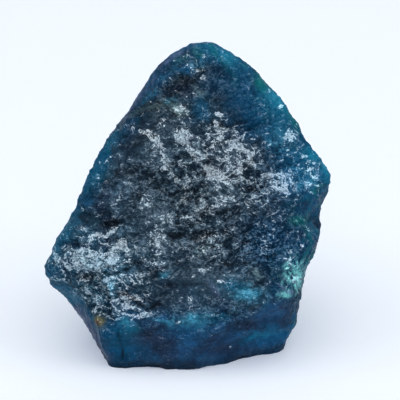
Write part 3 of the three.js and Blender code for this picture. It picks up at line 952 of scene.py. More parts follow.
@dataclass(frozen=True)
class StoneColours:
    """Where the stone has its colours.

    Attributes:
        broad: The noise of the large clouds of colour.
        fine: The noise of the small ones.
        lace: The finest noise, which frays the patches.
        core: The greyer middle of the broad face.
        around_core: How much of a wash is left all round that middle.
        rightwards: Where across the face the right side begins, and where it is full.
        right_rise: How much further right a point counts for each millimetre up.
        rim_depth: How deep the clear rims reach, at the left and added at the right.
        rim_edge: Where in that depth they are clear, and where no longer.
        rim_noise: The shares of the broad and fine noise in that edge.
        back_edge: Where along w the clear back begins, and where it is full.
        inner_foot: Where across the foot its left end begins to end, and ends.
        washes: The washes of colour in the order that they are laid on.
        streaks: The noise of the streaks of colour.
        streak_turn: The way that they run, in degrees from the right.
        streak_stretch: One over how many times longer than wide they are.
        streaky: How strong they are, and what the crown, the foot and the core add to that.
        dark_streaks: The noise at which a dark streak begins, and at which it is full.
        light_streaks: The same for a light streak, and its strength beside a dark one.
        shading: How much darker the crown and the foot are, and how much lighter its right part.
        lit_foot: Where across the foot that right part begins, and where it is full.
        pane: How strongly blue covers the clear upper right.
        floor_shade: How much darker the lowest edge is, as painted shade from the floor.
        floor_edge: Height above the floor at which that begins, and at which it is full.
        fray: The shares of the fine noise and the lace in the fraying.
        holes: The noise that eats holes into the most ragged patches.
        holed: How ragged a patch with holes is, at least.
        hole_edge: The noise at which a hole ends, and at which the patch is whole.
        patches: The patches of colour in the order that they are laid on.
        strokes: The cracks, painted ledge shadows, painted edge highlights and a painted reflection.
    """

    broad: Cloud = Cloud(6.0, 51.0)
    fine: Cloud = Cloud(1.7, 61.0)
    lace: Cloud = Cloud(0.8, 71.0)
    core: Patch = Patch((1.5, 2.0), (13.0, 11.0), -30.0, 1.0)
    around_core: float = 0.3
    rightwards: Pair = (-10.0, 14.0)
    right_rise: float = 0.25
    rim_depth: Pair = (3.0, 6.5)
    rim_edge: Pair = (0.15, 1.0)
    rim_noise: Pair = (0.4, 0.3)
    back_edge: Pair = (2.0, -4.0)
    inner_foot: Pair = (-12.0, -6.0)
    washes: tuple[Wash, ...] = (
        Wash(Zone.ALL, Tint.SHALE, 1.0),
        Wash(Zone.ALL, Tint.NAVY, 1.0, (-0.3, 0.5), -1.0, 0.6),
        Wash(Zone.CORE, Tint.SLATE, 1.3),
        Wash(Zone.AROUND_CORE, Tint.SOOT, 1.0, (0.0, 0.6), 1.0, 0.5),
        Wash(Zone.RIMS, Tint.BLUE, 0.95),
        Wash(Zone.RIMS, Tint.TEAL, 1.0, (-0.3, 0.5), 0.6, 1.0),
        Wash(Zone.RIMS, Tint.NAVY, 0.8, (0.1, 0.7), 1.0, -0.5),
        Wash(Zone.RIMS, Tint.GREEN, 0.6, (0.3, 1.0), 0.0, 1.0, 0.4),
        Wash(Zone.FOOT, Tint.BLUE, 0.95),
        Wash(Zone.FOOT, Tint.NAVY, 0.8, (-0.2, 0.5), 1.0, 0.6),
        Wash(Zone.FOOT, Tint.MARINE, 0.6, (0.1, 0.6), -1.0, 0.8),
        Wash(Zone.INNER_FOOT, Tint.STEEL, 0.2),
    )
    streaks: Cloud = Cloud(2.0, 101.0)
    streak_turn: float = 18.0
    streak_stretch: float = 0.35
    streaky: tuple[float, float, float, float] = (0.35, 0.4, -0.1, -0.25)
    dark_streaks: Pair = (-0.2, 0.5)
    light_streaks: Triple = (0.2, 0.8, 0.5)
    shading: Triple = (0.45, 0.12, 0.42)
    lit_foot: Pair = (-10.0, -2.0)
    pane: float = 0.8
    floor_shade: float = 0.55
    floor_edge: Pair = (2.4, 0.2)
    fray: Pair = (0.5, 0.8)
    holes: Cloud = Cloud(0.45, 121.0)
    holed: float = 1.5
    hole_edge: Pair = (-0.4, 0.05)
    patches: tuple[tuple[Tint, Patch], ...] = (
        (Tint.TEAL, Patch((-14.9, 6.1), (3.4, 1.5), 60.0, 0.9)),
        (Tint.TEAL, Patch((-20.3, -2.9), (5.0, 1.6), 65.0, 0.8)),
        (Tint.TEAL, Patch((-12.6, 11.4), (2.2, 1.1), 55.0, 0.8)),
        (Tint.TEAL, Patch((-18.7, -13.4), (3.0, 1.3), -48.0, 0.8)),
        (Tint.TEAL, Patch((1.6, 26.4), (2.4, 1.0), -15.0, 0.8)),
        (Tint.BRIGHT, Patch((6.2, 24.4), (2.8, 1.3), -38.0, 0.9)),
        (Tint.BLUE, Patch((8.3, 21.4), (3.0, 1.7), -70.0, 0.9)),
        (Tint.GREEN, Patch((11.2, 20.3), (1.6, 0.9), -60.0, 0.9)),
        (Tint.BRIGHT, Patch((13.6, 17.7), (2.8, 1.4), -52.0, 0.9)),
        (Tint.TEAL, Patch((14.2, 15.2), (2.6, 1.4), -40.0, 0.9)),
        (Tint.NAVY, Patch((14.8, -2.8), (3.6, 3.2), -15.0, 0.85)),
        (Tint.BLUE, Patch((12.4, -4.8), (4.8, 4.4), -20.0, 0.85)),
        (Tint.SLATE, Patch((2.2, -9.3), (5.4, 1.7), 0.0, 0.6)),
        (Tint.CYAN, Patch((-15.4, -10.0), (6.0, 4.6), -35.0, 0.25)),
        (Tint.MARINE, Patch((16.2, 6.4), (4.2, 4.6), -20.0, 0.6)),
        (Tint.TEAL, Patch((17.4, 9.2), (4.0, 2.8), -45.0, 0.6)),
        (Tint.TEAL, Patch((12.2, 15.8), (2.6, 2.2), -45.0, 0.5)),
        (Tint.BLUE, Patch((17.9, 11.0), (2.6, 1.3), -50.0, 0.9)),
        (Tint.BRIGHT, Patch((21.8, 6.4), (2.4, 0.9), -75.0, 0.8)),
        (Tint.BRIGHT, Patch((19.2, 9.0), (1.5, 0.9), -30.0, 0.85, 0.9)),
        (Tint.CYAN, Patch((21.3, 7.5), (1.2, 0.5), -45.0, 0.4, 0.9)),
        (Tint.CYAN, Patch((13.9, 12.2), (1.3, 0.9), 20.0, 0.35, 0.9)),
        (Tint.CYAN, Patch((14.6, 10.2), (1.5, 0.7), -20.0, 0.5, 1.6)),
        (Tint.CYAN, Patch((18.6, 4.6), (2.2, 1.4), -20.0, 0.4, 1.6)),
        (Tint.CYAN, Patch((14.0, 18.0), (1.6, 0.7), -52.0, 0.45, 1.6)),
        (Tint.GREEN, Patch((16.9, 14.0), (1.8, 0.7), -52.0, 0.6)),
        (Tint.GREEN, Patch((16.8, -1.3), (1.4, 0.7), 0.0, 0.8)),
        (Tint.BLUE, Patch((-6.1, 19.0), (1.3, 1.0), 40.0, 1.0)),
        (Tint.CYAN, Patch((-3.6, 17.4), (1.2, 0.6), 0.0, 0.5, 1.6)),
        (Tint.MIST, Patch((-2.1, 16.2), (1.3, 0.6), -25.0, 0.9, 0.9)),
        (Tint.CYAN, Patch((-5.9, 18.9), (0.8, 0.6), 40.0, 0.5, 1.6)),
        (Tint.CYAN, Patch((1.6, 16.3), (1.1, 1.5), 0.0, 0.4)),
        (Tint.BLUE, Patch((1.6, 16.0), (1.5, 2.2), 0.0, 0.8)),
        (Tint.DEEP, Patch((14.4, -10.7), (1.6, 1.4), 0.0, 0.9)),
        (Tint.TURQUOISE, Patch((16.1, -9.7), (1.5, 1.5), 10.0, 1.15, 1.9)),
        (Tint.TURQUOISE, Patch((16.8, -10.2), (0.8, 1.3), 0.0, 1.2, 1.6)),
        (Tint.TURQUOISE, Patch((14.9, -12.9), (1.0, 0.6), 20.0, 0.8, 2.0)),
        (Tint.CYAN, Patch((8.8, -12.6), (2.2, 1.15), -4.0, 0.85, 0.9)),
        (Tint.TEAL, Patch((6.4, -11.4), (1.6, 0.6), -10.0, 0.9, 0.9)),
        (Tint.MIST, Patch((10.2, -9.3), (1.0, 0.5), -45.0, 0.7, 0.9)),
        (Tint.CYAN, Patch((0.6, -16.6), (2.2, 1.0), 0.0, 0.9, 1.2)),
        (Tint.TEAL, Patch((4.6, -16.2), (1.6, 0.6), 20.0, 0.9, 0.9)),
        (Tint.CYAN, Patch((-4.2, -9.8), (0.7, 0.5), 0.0, 0.7, 0.9)),
        (Tint.CYAN, Patch((-10.2, -16.8), (1.0, 0.6), 0.0, 0.9, 0.9)),
        (Tint.CYAN, Patch((-12.2, -11.6), (0.4, 0.8), 0.0, 0.7, 0.9)),
        (Tint.MIST, Patch((1.9, -5.6), (1.2, 0.7), 30.0, 0.5, 0.9)),
        (Tint.LILAC, Patch((3.8, -12.2), (0.4, 1.3), 30.0, 0.4, 0.6)),
        (Tint.TEAL, Patch((-11.0, -20.3), (3.6, 2.6), 0.0, 0.4)),
        (Tint.STEEL, Patch((-6.1, -19.5), (2.4, 1.0), 0.0, 0.5)),
        (Tint.MARINE, Patch((-1.0, -18.6), (3.2, 1.2), 4.0, 0.4)),
        (Tint.PLUM, Patch((4.8, -21.4), (3.8, 1.7), 4.0, 0.85)),
        (Tint.DUSK, Patch((-6.8, -18.9), (1.9, 0.9), -20.0, 0.8, 0.9)),
        (Tint.DUSK, Patch((8.2, -17.4), (2.4, 0.7), 4.0, 0.7, 0.9)),
        (Tint.BRIGHT, Patch((9.8, -19.6), (1.6, 0.4), 20.0, 0.7, 0.9)),
        (Tint.MARINE, Patch((12.8, -19.6), (3.6, 1.4), 6.0, 0.95)),
        (Tint.BRIGHT, Patch((11.6, -19.2), (2.8, 0.7), 8.0, 0.5, 0.9)),
        (Tint.BRIGHT, Patch((-9.4, -18.0), (1.6, 0.8), 0.0, 0.5, 0.9)),
        (Tint.DUSK, Patch((-1.9, 19.4), (3.6, 1.2), 0.0, 0.8)),
        (Tint.DUSK, Patch((4.3, 22.4), (2.0, 0.9), -10.0, 0.6)),
        (Tint.DUSK, Patch((-0.6, 25.3), (1.6, 0.6), 20.0, 0.6)),
        (Tint.MARINE, Patch((-0.9, 22.6), (1.5, 0.8), 10.0, 0.7, 0.9)),
        (Tint.CYAN, Patch((0.9, 23.6), (1.2, 0.6), 20.0, 0.35, 1.6)),
        (Tint.SOOT, Patch((-4.0, -13.4), (4.6, 2.0), 0.0, 0.8)),
        (Tint.SOOT, Patch((-16.6, -10.2), (1.7, 0.9), 0.0, 0.9)),
        (Tint.CYAN, Patch((-4.0, -16.9), (1.9, 0.35), -12.0, 0.6, 0.9)),
        (Tint.DUSK, Patch((-9.4, 16.6), (1.4, 3.0), -35.0, 0.6)),
        (Tint.GOLD, Patch((-14.3, -17.0), (0.8, 0.8), 0.0, 1.3)),
        (Tint.RUST, Patch((-14.45, -17.15), (0.42, 0.42), 0.0, 1.4, 0.3)),
    )
    # Dark strokes are cracks and painted ledge shadows; the pale ones are painted highlights.
    strokes: tuple[tuple[Tint, Stroke], ...] = (
        (Tint.INK, Stroke(
            ((-11.3, -18.7), (-10.9, -20.5), (-10.6, -21.2), (-10.7, -23.0)),
            0.15, 0.9, 0.2,
        )),
        (Tint.INK, Stroke(((-7.7, -14.4), (-6.7, -15.0), (-4.8, -14.1)), 0.32, 0.9, 0.35)),
        # Painted shadow under a ledge.
        (Tint.INK, Stroke(((-17.0, -0.8), (-14.6, -2.0), (-11.4, -1.6)), 0.5, 0.7, 0.3)),
        (Tint.NAVY, Stroke(
            ((-20.6, -5.0), (-17.6, -5.1), (-14.6, -5.4), (-12.8, -4.6)),
            0.4, 0.8, 0.3,
        )),
        (Tint.INK, Stroke(((-13.8, -9.0), (-12.4, -9.7), (-9.9, -8.8), (-7.8, -9.0)), 0.25, 0.8, 0.3)),
        (Tint.INK, Stroke(((-11.7, -12.8), (-10.1, -12.5), (-8.3, -13.9)), 0.35, 0.9, 0.3)),
        (Tint.NAVY, Stroke(((-20.2, -8.0), (-19.1, -9.6)), 0.2, 0.8, 0.2)),
        (Tint.INK, Stroke(((-9.4, -3.4), (-6.4, -4.2)), 0.3, 0.8, 0.3)),
        (Tint.INK, Stroke(((-3.1, -3.7), (1.1, -4.3), (2.6, -3.3)), 0.5, 0.85, 0.35)),
        (Tint.INK, Stroke(((5.4, -8.2), (9.3, -7.8), (13.8, -6.4)), 0.25, 0.8, 0.3)),
        (Tint.INK, Stroke(((-3.5, -11.3), (4.2, -11.0)), 0.2, 0.6, 0.15)),
        (Tint.INK, Stroke(((6.7, -18.1), (9.0, -18.3), (11.4, -18.1)), 0.14, 0.5, 0.05)),
        # Painted highlight along the ridge atop the foot.
        (Tint.MIST, Stroke(((5.3, -15.8), (8.3, -15.2), (11.5, -14.1)), 0.14, 0.4, -0.05)),
        (Tint.INK, Stroke(((5.5, -16.2), (8.5, -15.6), (11.7, -14.5)), 0.16, 0.5, 0.1)),
        (Tint.MIST, Stroke(((0.4, 19.7), (1.6, 18.7), (2.6, 18.1), (4.0, 18.2)), 0.16, 0.7, -0.05)),
        # Painted highlight on the lip of the step below the crown.
        (Tint.MIST, Stroke(((-10.6, 14.7), (-8.5, 15.8), (-6.2, 16.5), (-1.9, 17.1)), 0.35, 0.3, -0.1)),
        # Painted highlight along the left bevel of the crown.
        (Tint.LILAC, Stroke(((0.6, 27.0), (-3.5, 24.3), (-7.8, 19.0), (-10.6, 15.0)), 0.35, 0.6, -0.1)),
        # Painted reflection of the floor on the lower left facet.
        (Tint.STEEL, Stroke(((-18.2, -15.4), (-15.9, -18.6), (-13.6, -22.8)), 0.9, 0.9)),
        (Tint.LILAC, Stroke(((13.7, -11.2), (15.0, -12.4), (15.9, -12.3)), 0.14, 0.8, -0.1)),
        (Tint.INK, Stroke(((0.6, 8.6), (2.2, 7.6), (3.4, 8.2)), 0.4, 0.6, 0.3)),
        (Tint.INK, Stroke(((-6.4, 4.0), (-3.0, 3.0), (0.8, 3.6)), 0.35, 0.5, 0.25)),
        (Tint.INK, Stroke(((2.8, 14.4), (5.6, 13.6), (9.0, 14.2)), 0.3, 0.6, 0.25)),
    )

    @staticmethod
    def _laid(base: np.ndarray, tint: Tint, share: np.ndarray) -> np.ndarray:
        """Lay a tint over base colours.

        Args:
            base: Linear colours, one row of three each.
            tint: The tint.
            share: How much of each base colour it covers.

        Returns:
            The colours with the tint on them.
        """
        return base + (np.array(tint.value) - base) * np.clip(share, 0.0, 1.0)[:, None]

    def _washed(self, skin: Skin, broad: np.ndarray, fine: np.ndarray, core: np.ndarray) -> np.ndarray:
        """Lay the washes of colour over one another.

        Args:
            skin: The surface.
            broad: The broad noise at each point.
            fine: The fine noise at each point.
            core: The share of the broad face's middle.

        Returns:
            Linear colours, one row of three each.
        """
        u, v, w = skin.points.T
        right = smooth_step(*self.rightwards, u + self.right_rise * v)
        cloud = self.rim_noise[0] * broad + self.rim_noise[1] * fine
        depth = self.rim_depth[0] + self.rim_depth[1] * right
        rims = 1.0 - smooth_step(*self.rim_edge, skin.inward() / depth + cloud)
        zones = {
            Zone.ALL: np.ones(len(u)),
            Zone.CORE: core,
            Zone.AROUND_CORE: self.around_core + (1.0 - self.around_core) * core,
            Zone.RIMS: np.maximum(rims, smooth_step(*self.back_edge, w)),
            Zone.FOOT: skin.foot(),
            Zone.INNER_FOOT: skin.foot() * smooth_step(*self.inner_foot, u),
        }
        tone = np.zeros((len(u), 3))
        for wash in self.washes:
            level = wash.broad * broad + wash.fine * fine + wash.right * right
            share = wash.strength * zones[wash.zone] * smooth_step(*wash.rise, level)
            tone = self._laid(tone, wash.tint, share)
        return tone

    def _streaked(self, tone: np.ndarray, skin: Skin, core: np.ndarray) -> np.ndarray:
        """Shade the facets and draw dark and light streaks over them.

        Args:
            tone: Linear colours, one row of three each.
            skin: The surface.
            core: The share of the broad face's middle.

        Returns:
            The colours with their shading and streaks.
        """
        u, v, w = skin.points.T
        crown, foot = skin.shares["crown"], skin.foot()
        along, over = turned(u, v, self.streak_turn)
        streaks = self.streaks.at(np.stack([self.streak_stretch * along, over, w], axis=1))
        level, on_crown, on_foot, on_core = self.streaky
        streaky = level + on_crown * crown + on_foot * foot + on_core * core
        crown_shade, foot_shade, foot_light = self.shading
        lit = foot_light * foot * smooth_step(*self.lit_foot, u)
        begin, full, strength = self.light_streaks
        tone = tone * (1.0 - crown_shade * crown - foot_shade * foot + lit)[:, None]
        tone = tone * (1.0 - streaky * smooth_step(*self.dark_streaks, streaks))[:, None]
        return tone * (1.0 + strength * streaky * smooth_step(begin, full, -streaks))[:, None]

    def tones(self, skin: Skin) -> np.ndarray:
        """Work out the body's colour at each point.

        Args:
            skin: The surface.

        Returns:
            Linear colours, one row of three each.
        """
        points = skin.points
        broad, fine, lace = (cloud.at(points) for cloud in (self.broad, self.fine, self.lace))
        core = self.core.cover(points, fine)
        tone = self._streaked(self._washed(skin, broad, fine, core), skin, core)
        tone = self._laid(tone, Tint.BLUE, self.pane * skin.pane.cover(points, fine))
        # Painted shade along the lowest edge, where the floor shades it.
        shade = self.floor_shade * smooth_step(*self.floor_edge, skin.above_floor)
        tone = tone * (1.0 - shade)[:, None]
        frayed = self.fray[0] * fine + self.fray[1] * lace
        whole = smooth_step(*self.hole_edge, self.holes.at(points))
        for tint, patch in self.patches:
            cover = patch.cover(points, frayed)
            tone = self._laid(tone, tint, cover * whole if patch.ragged > self.holed else cover)
        for tint, stroke in self.strokes:
            tone = self._laid(tone, tint, stroke.cover(points, fine))
        return tone

    def sunk(self, points: np.ndarray) -> np.ndarray:
        """Work out how deep the strokes are sunk at each point, below zero where they stand out."""
        even = np.zeros(len(points))
        return sum(stroke.depth * stroke.cover(points, even) for _, stroke in self.strokes)


@dataclass(frozen=True)
class StoneFrostAndHighlight:
    """Where white frost and painted highlights lie on the stone; frost below means both.

    Attributes:
        broad: The noise of its large clouds.
        fine: The noise of its small ones.
        thin: The thin frost outside the patches: its level, and the shares of the two noises.
        smooth: How much of the thin frost the foot and the crown lose.
        off_hollow: How much of it the hollow above the foot loses.
        off: How much less lies on the clear upper right, and on the crown.
        uneven: How much the broad noise changes the patches.
        bends: The noises that bend the veins along u, v and w.
        bend: How far they bend them.
        behind: The frost on the back: its level, and the broad noise's share.
        limits: The least and the greatest frost.
        patches: The patches of frost; above 1 it lies even in the pits.
        veins: The lines along which it is thickest.
    """

    broad: Cloud = Cloud(4.2, 81.0)
    fine: Cloud = Cloud(1.5, 91.0)
    thin: Triple = (0.02, 0.06, 0.12)
    smooth: Pair = (0.8, 0.64)
    off_hollow: float = 0.8
    off: Pair = (0.3, 0.14)
    uneven: float = 0.12
    bends: tuple[Cloud, ...] = (Cloud(1.4, 111.0), Cloud(1.4, 112.0), Cloud(1.4, 113.0))
    bend: float = 0.6
    behind: Pair = (0.3, 0.3)
    limits: Pair = (-0.4, 2.0)
    patches: tuple[Patch, ...] = (
        Patch((2.1, -9.0), (0.6, 0.3), 10.0, 2.4),
        Patch((4.6, -10.7), (0.5, 0.25), 0.0, 2.2),
        Patch((0.5, -9.8), (0.35, 0.25), 0.0, 2.0),
        Patch((0.0, -13.3), (0.3, 0.2), 0.0, 2.0),
        Patch((11.5, -13.9), (0.5, 0.25), 30.0, 2.0),
        Patch((15.8, 12.4), (0.35, 0.7), 0.0, 1.7, 0.9),
        Patch((17.8, 8.8), (0.45, 0.35), 0.0, 1.6, 0.9),
        Patch((19.0, 6.9), (0.4, 0.5), 0.0, 1.6, 0.9),
        Patch((14.4, 16.8), (0.35, 0.3), 0.0, 1.4, 0.9),
        Patch((12.4, 19.5), (0.3, 0.25), 0.0, 1.2, 0.9),
        Patch((4.4, 15.3), (0.6, 0.35), -10.0, 1.8),
        Patch((2.7, 18.2), (0.6, 0.2), 0.0, 1.1),
        Patch((1.8, 21.2), (0.4, 0.2), 20.0, 1.4),
        Patch((6.2, -21.1), (0.25, 0.3), 0.0, 1.2),
        Patch((12.8, -15.4), (0.25, 0.2), 0.0, 1.2),
        Patch((7.6, -17.8), (0.3, 0.2), 0.0, 1.2),
        Patch((-3.4, -22.9), (0.3, 0.2), 0.0, 1.0),
        Patch((-1.8, -17.0), (0.5, 0.2), 20.0, 2.0),
        Patch((-2.0, 16.3), (1.6, 0.8), -25.0, 0.7),
        Patch((4.5, 13.0), (2.0, 2.4), 0.0, 0.5),
        Patch((19.8, 3.8), (1.8, 1.6), -20.0, 0.5),
        Patch((5.6, 8.3), (9.5, 5.5), -25.0, 0.5),
        Patch((4.0, 5.6), (4.0, 2.6), -20.0, 0.66),
        Patch((14.1, 5.1), (2.4, 1.6), -24.0, 0.85),
        Patch((2.4, 1.0), (7.0, 2.6), 25.0, 0.5),
        Patch((19.4, 6.4), (1.2, 2.4), 35.0, 0.55),
        Patch((15.5, 12.0), (1.4, 1.6), 30.0, 0.65),
        Patch((-6.9, 1.4), (1.0, 1.2), 0.0, 0.6),
        Patch((-5.0, -3.0), (1.2, 2.2), -20.0, 0.75),
        Patch((2.2, -4.4), (1.4, 2.0), -20.0, 0.75),
        Patch((2.0, -4.0), (7.0, 3.6), 0.0, 0.3),
        Patch((-15.4, -8.2), (7.0, 3.4), -20.0, 0.85),
        Patch((-11.6, -12.6), (4.2, 3.2), -25.0, 0.85),
        Patch((-18.2, -12.4), (1.4, 4.0), 40.0, 0.8),
        Patch((16.6, -10.2), (1.1, 1.4), 0.0, 0.95),
        Patch((0.4, 23.4), (1.8, 0.9), 10.0, 0.4),
        Patch((0.9, 22.3), (1.0, 0.25), 5.0, 0.95),
    )
    veins: tuple[Stroke, ...] = (
        Stroke(((3.7, 13.9), (5.3, 11.2), (7.5, 10.4), (9.1, 8.6), (10.1, 7.2)), 0.55, 1.43),
        Stroke(((-1.6, 12.3), (-0.5, 10.7), (0.8, 8.8), (2.1, 7.0), (3.7, 6.7)), 0.61, 1.49),
        Stroke(((-1.3, 7.5), (-0.3, 5.6), (-1.3, 3.8), (-0.8, 1.9)), 0.55, 1.3),
        Stroke(((-5.6, 11.5), (-4.3, 9.4), (-4.5, 7.8), (-2.7, 5.6)), 0.55, 1.3),
        Stroke(((7.5, 7.5), (8.0, 5.6), (9.6, 5.1), (10.7, 4.3)), 0.55, 1.37),
        Stroke(((11.2, 5.9), (13.3, 5.1), (13.9, 3.8), (15.2, 3.5)), 0.66, 1.49),
        Stroke(((1.0, 9.0), (3.7, 5.6), (5.3, 6.4), (4.8, 4.3)), 0.61, 1.43),
        Stroke(((0.5, 3.0), (1.9, 1.4), (3.2, 0.6), (4.8, 1.4)), 0.44, 1.23),
        Stroke(((8.3, 3.0), (8.8, 1.6), (10.1, 2.7)), 0.39, 1.43),
        Stroke(((-3.5, -0.2), (-2.7, -1.3)), 0.3, 0.9),
        Stroke(((-6.1, -4.8), (-4.8, -5.3), (-3.7, -5.6)), 0.5, 1.2),
        Stroke(((-16.5, -4.5), (-15.2, -3.7), (-13.3, -3.4), (-10.9, -2.1)), 0.4, 1.38),
        Stroke(((-12.3, -5.6), (-10.9, -4.8), (-10.1, -5.8)), 0.7, 1.44),
        Stroke(((-21.3, -7.4), (-19.7, -8.2), (-17.1, -7.2), (-15.2, -6.6), (-11.5, -7.2)), 0.7, 1.44),
        Stroke(((-18.4, -8.2), (-16.5, -8.8), (-15.2, -7.7), (-13.9, -9.0), (-12.6, -8.2)), 0.5, 1.38),
        Stroke(((-15.2, -9.8), (-13.6, -11.2), (-12.3, -11.4), (-10.7, -11.2)), 0.5, 1.31),
        Stroke(((-21.6, -10.4), (-20.3, -10.6), (-19.5, -9.6)), 0.5, 1.38),
        Stroke(((-16.5, -11.7), (-15.2, -12.8), (-14.1, -14.4), (-15.2, -15.4)), 0.4, 1.31),
        Stroke(((-12.0, -12.4), (-9.1, -12.8), (-8.0, -13.6)), 0.35, 1.5),
        Stroke(((-10.9, -14.1), (-9.1, -14.9), (-8.3, -14.6)), 0.35, 1.5),
        Stroke(((-12.8, -16.0), (-10.9, -16.2), (-6.4, -15.7)), 0.25, 1.25),
        Stroke(((-9.6, 13.4), (-7.4, 12.4), (-5.2, 11.2), (-3.8, 9.6)), 0.35, 1.12),
    )

    def thickness(self, skin: Skin, strokes: tuple[tuple[Tint, Stroke], ...]) -> np.ndarray:
        """Work out how thickly frost lies at each point.

        At 0 only the crests hold flecks of it, above 1 it fills the pits, and below 0 it is gone.
        Where patches and veins overlap, the thickest counts.

        Args:
            skin: The surface.
            strokes: The lines on the stone, which hold no frost.

        Returns:
            The frost at each point.
        """
        points, crown = skin.points, skin.shares["crown"]
        broad, fine = self.broad.at(points), self.fine.at(points)
        level, by_broad, by_fine = self.thin
        smooth = self.smooth[0] * skin.foot() + self.smooth[1] * crown
        thin = level + by_broad * broad + by_fine * fine
        thin = thin * (1.0 - self.off_hollow * HOLLOW.cover(points, fine)) * (1.0 - smooth)
        thin = thin - self.off[0] * skin.pane.cover(points, fine) - self.off[1] * crown

        bent = points + self.bend * np.stack([cloud.at(points) for cloud in self.bends], axis=1)
        laid = [patch.cover(points, fine) * (1.0 + self.uneven * broad) for patch in self.patches]
        laid = np.max(laid + [vein.cover(bent, fine) for vein in self.veins], axis=0)
        level, by_broad = self.behind
        frost_and_highlight = thin * (1.0 - np.minimum(laid, 1.0)) + laid
        frost_and_highlight = frost_and_highlight + smooth_step(*FRONT[::-1], points[:, 2]) * (level + by_broad * broad)
        for _, stroke in strokes:
            frost_and_highlight = frost_and_highlight - stroke.cover(points, fine)
        return np.clip(frost_and_highlight, *self.limits)


@dataclass(frozen=True)
class StoneGrain:
    """How rugged and how sugary the stone is from place to place.

    Attributes:
        losses: How much of the crumbs the foot, the crown and the right flank lose.
        hollow_loss: How much the hollow above the foot loses.
        patches: The share of the crumbs that is kept elsewhere, and the noise's part in it.
        patch_size: How wide the more and less rugged patches are.
        patch_field: The part of the noise field that they read.
        shoulder_loss: How much is lost where the crown meets the broad face.
        back_loss: How much the back loses.
        back_edge: Where that loss begins, and where it is full.
        limits: The least and the greatest share of the crumbs.
        rim_edge: How far inside the outline the clear rim begins to end, and ends.
        sugared: The patches of the rim that are sugary all the same.
        foot_sugar: How much of its clearness the foot loses.
        least_sugar: The sugar that is left where there are no crumbs.
        clear_loss: How much of the sugar a clear place loses.
        crown_loss: How much of it the crown loses.
    """

    losses: Triple = (0.65, 0.25, 0.1)
    hollow_loss: float = 0.82
    patches: Pair = (0.8, 0.35)
    patch_size: float = 5.0
    patch_field: float = 41.0
    shoulder_loss: float = 2.0
    back_loss: float = 0.45
    back_edge: Pair = (2.0, -3.0)
    limits: Pair = (0.08, 1.1)
    rim_edge: Pair = (1.0, 8.0)
    sugared: tuple[Patch, ...] = (
        Patch((-17.0, -10.6), (5.0, 6.0), 30.0, 1.0),
        Patch((15.6, -10.4), (3.0, 3.4), 0.0, 1.0),
    )
    foot_sugar: float = 0.8
    least_sugar: float = 0.2
    clear_loss: float = 0.6
    crown_loss: float = 0.07

    def ruggedness(self, points: np.ndarray, shares: dict[str, np.ndarray]) -> np.ndarray:
        """Say how much of the crumbs each point keeps: less on the smooth breaks of the foot.

        Args:
            points: Points of the surface, one row of three each.
            shares: The share of each facet.

        Returns:
            The share of the crumbs that is kept.
        """
        crown, (off_foot, off_crown, off_flank) = shares["crown"], self.losses
        smooth = off_foot * (shares["foot_left"] + shares["foot_right"])
        smooth = smooth + off_crown * crown + off_flank * shares["right_flank"]
        level, by_noise = self.patches
        patchy = level + by_noise * noise(points / self.patch_size + (0.0, 0.0, self.patch_field))
        shoulder = 1.0 - self.shoulder_loss * crown * shares["broad_face"]
        behind = 1.0 - self.back_loss * smooth_step(*self.back_edge, points[:, 2])
        hollow = 1.0 - self.hollow_loss * HOLLOW.plain_cover(points)
        return np.clip((1.0 - smooth) * hollow * patchy * shoulder * behind, *self.limits)

    def sugar(self, skin: Skin) -> np.ndarray:
        """Say how sugary each point is: less so on the clear rims, the crown and the foot.

        Args:
            skin: The surface.

        Returns:
            The strength of the grain.
        """
        points = skin.points
        clear = 1.0 - smooth_step(*self.rim_edge, skin.inward())
        sugared = np.max([patch.plain_cover(points) for patch in self.sugared], axis=0)
        clear = np.maximum(clear * (1.0 - sugared), skin.pane.plain_cover(points))
        clear = clear * (1.0 - self.foot_sugar * skin.foot())
        sugary = self.least_sugar + (1.0 - self.least_sugar) * self.ruggedness(points, skin.shares)
        clearness, on_crown = self.clear_loss * clear, self.crown_loss * skin.shares["crown"]
        return sugary * (1.0 - clearness) * (1.0 - on_crown)


# ---- Finishes ------------------------------------------------------------------------------------


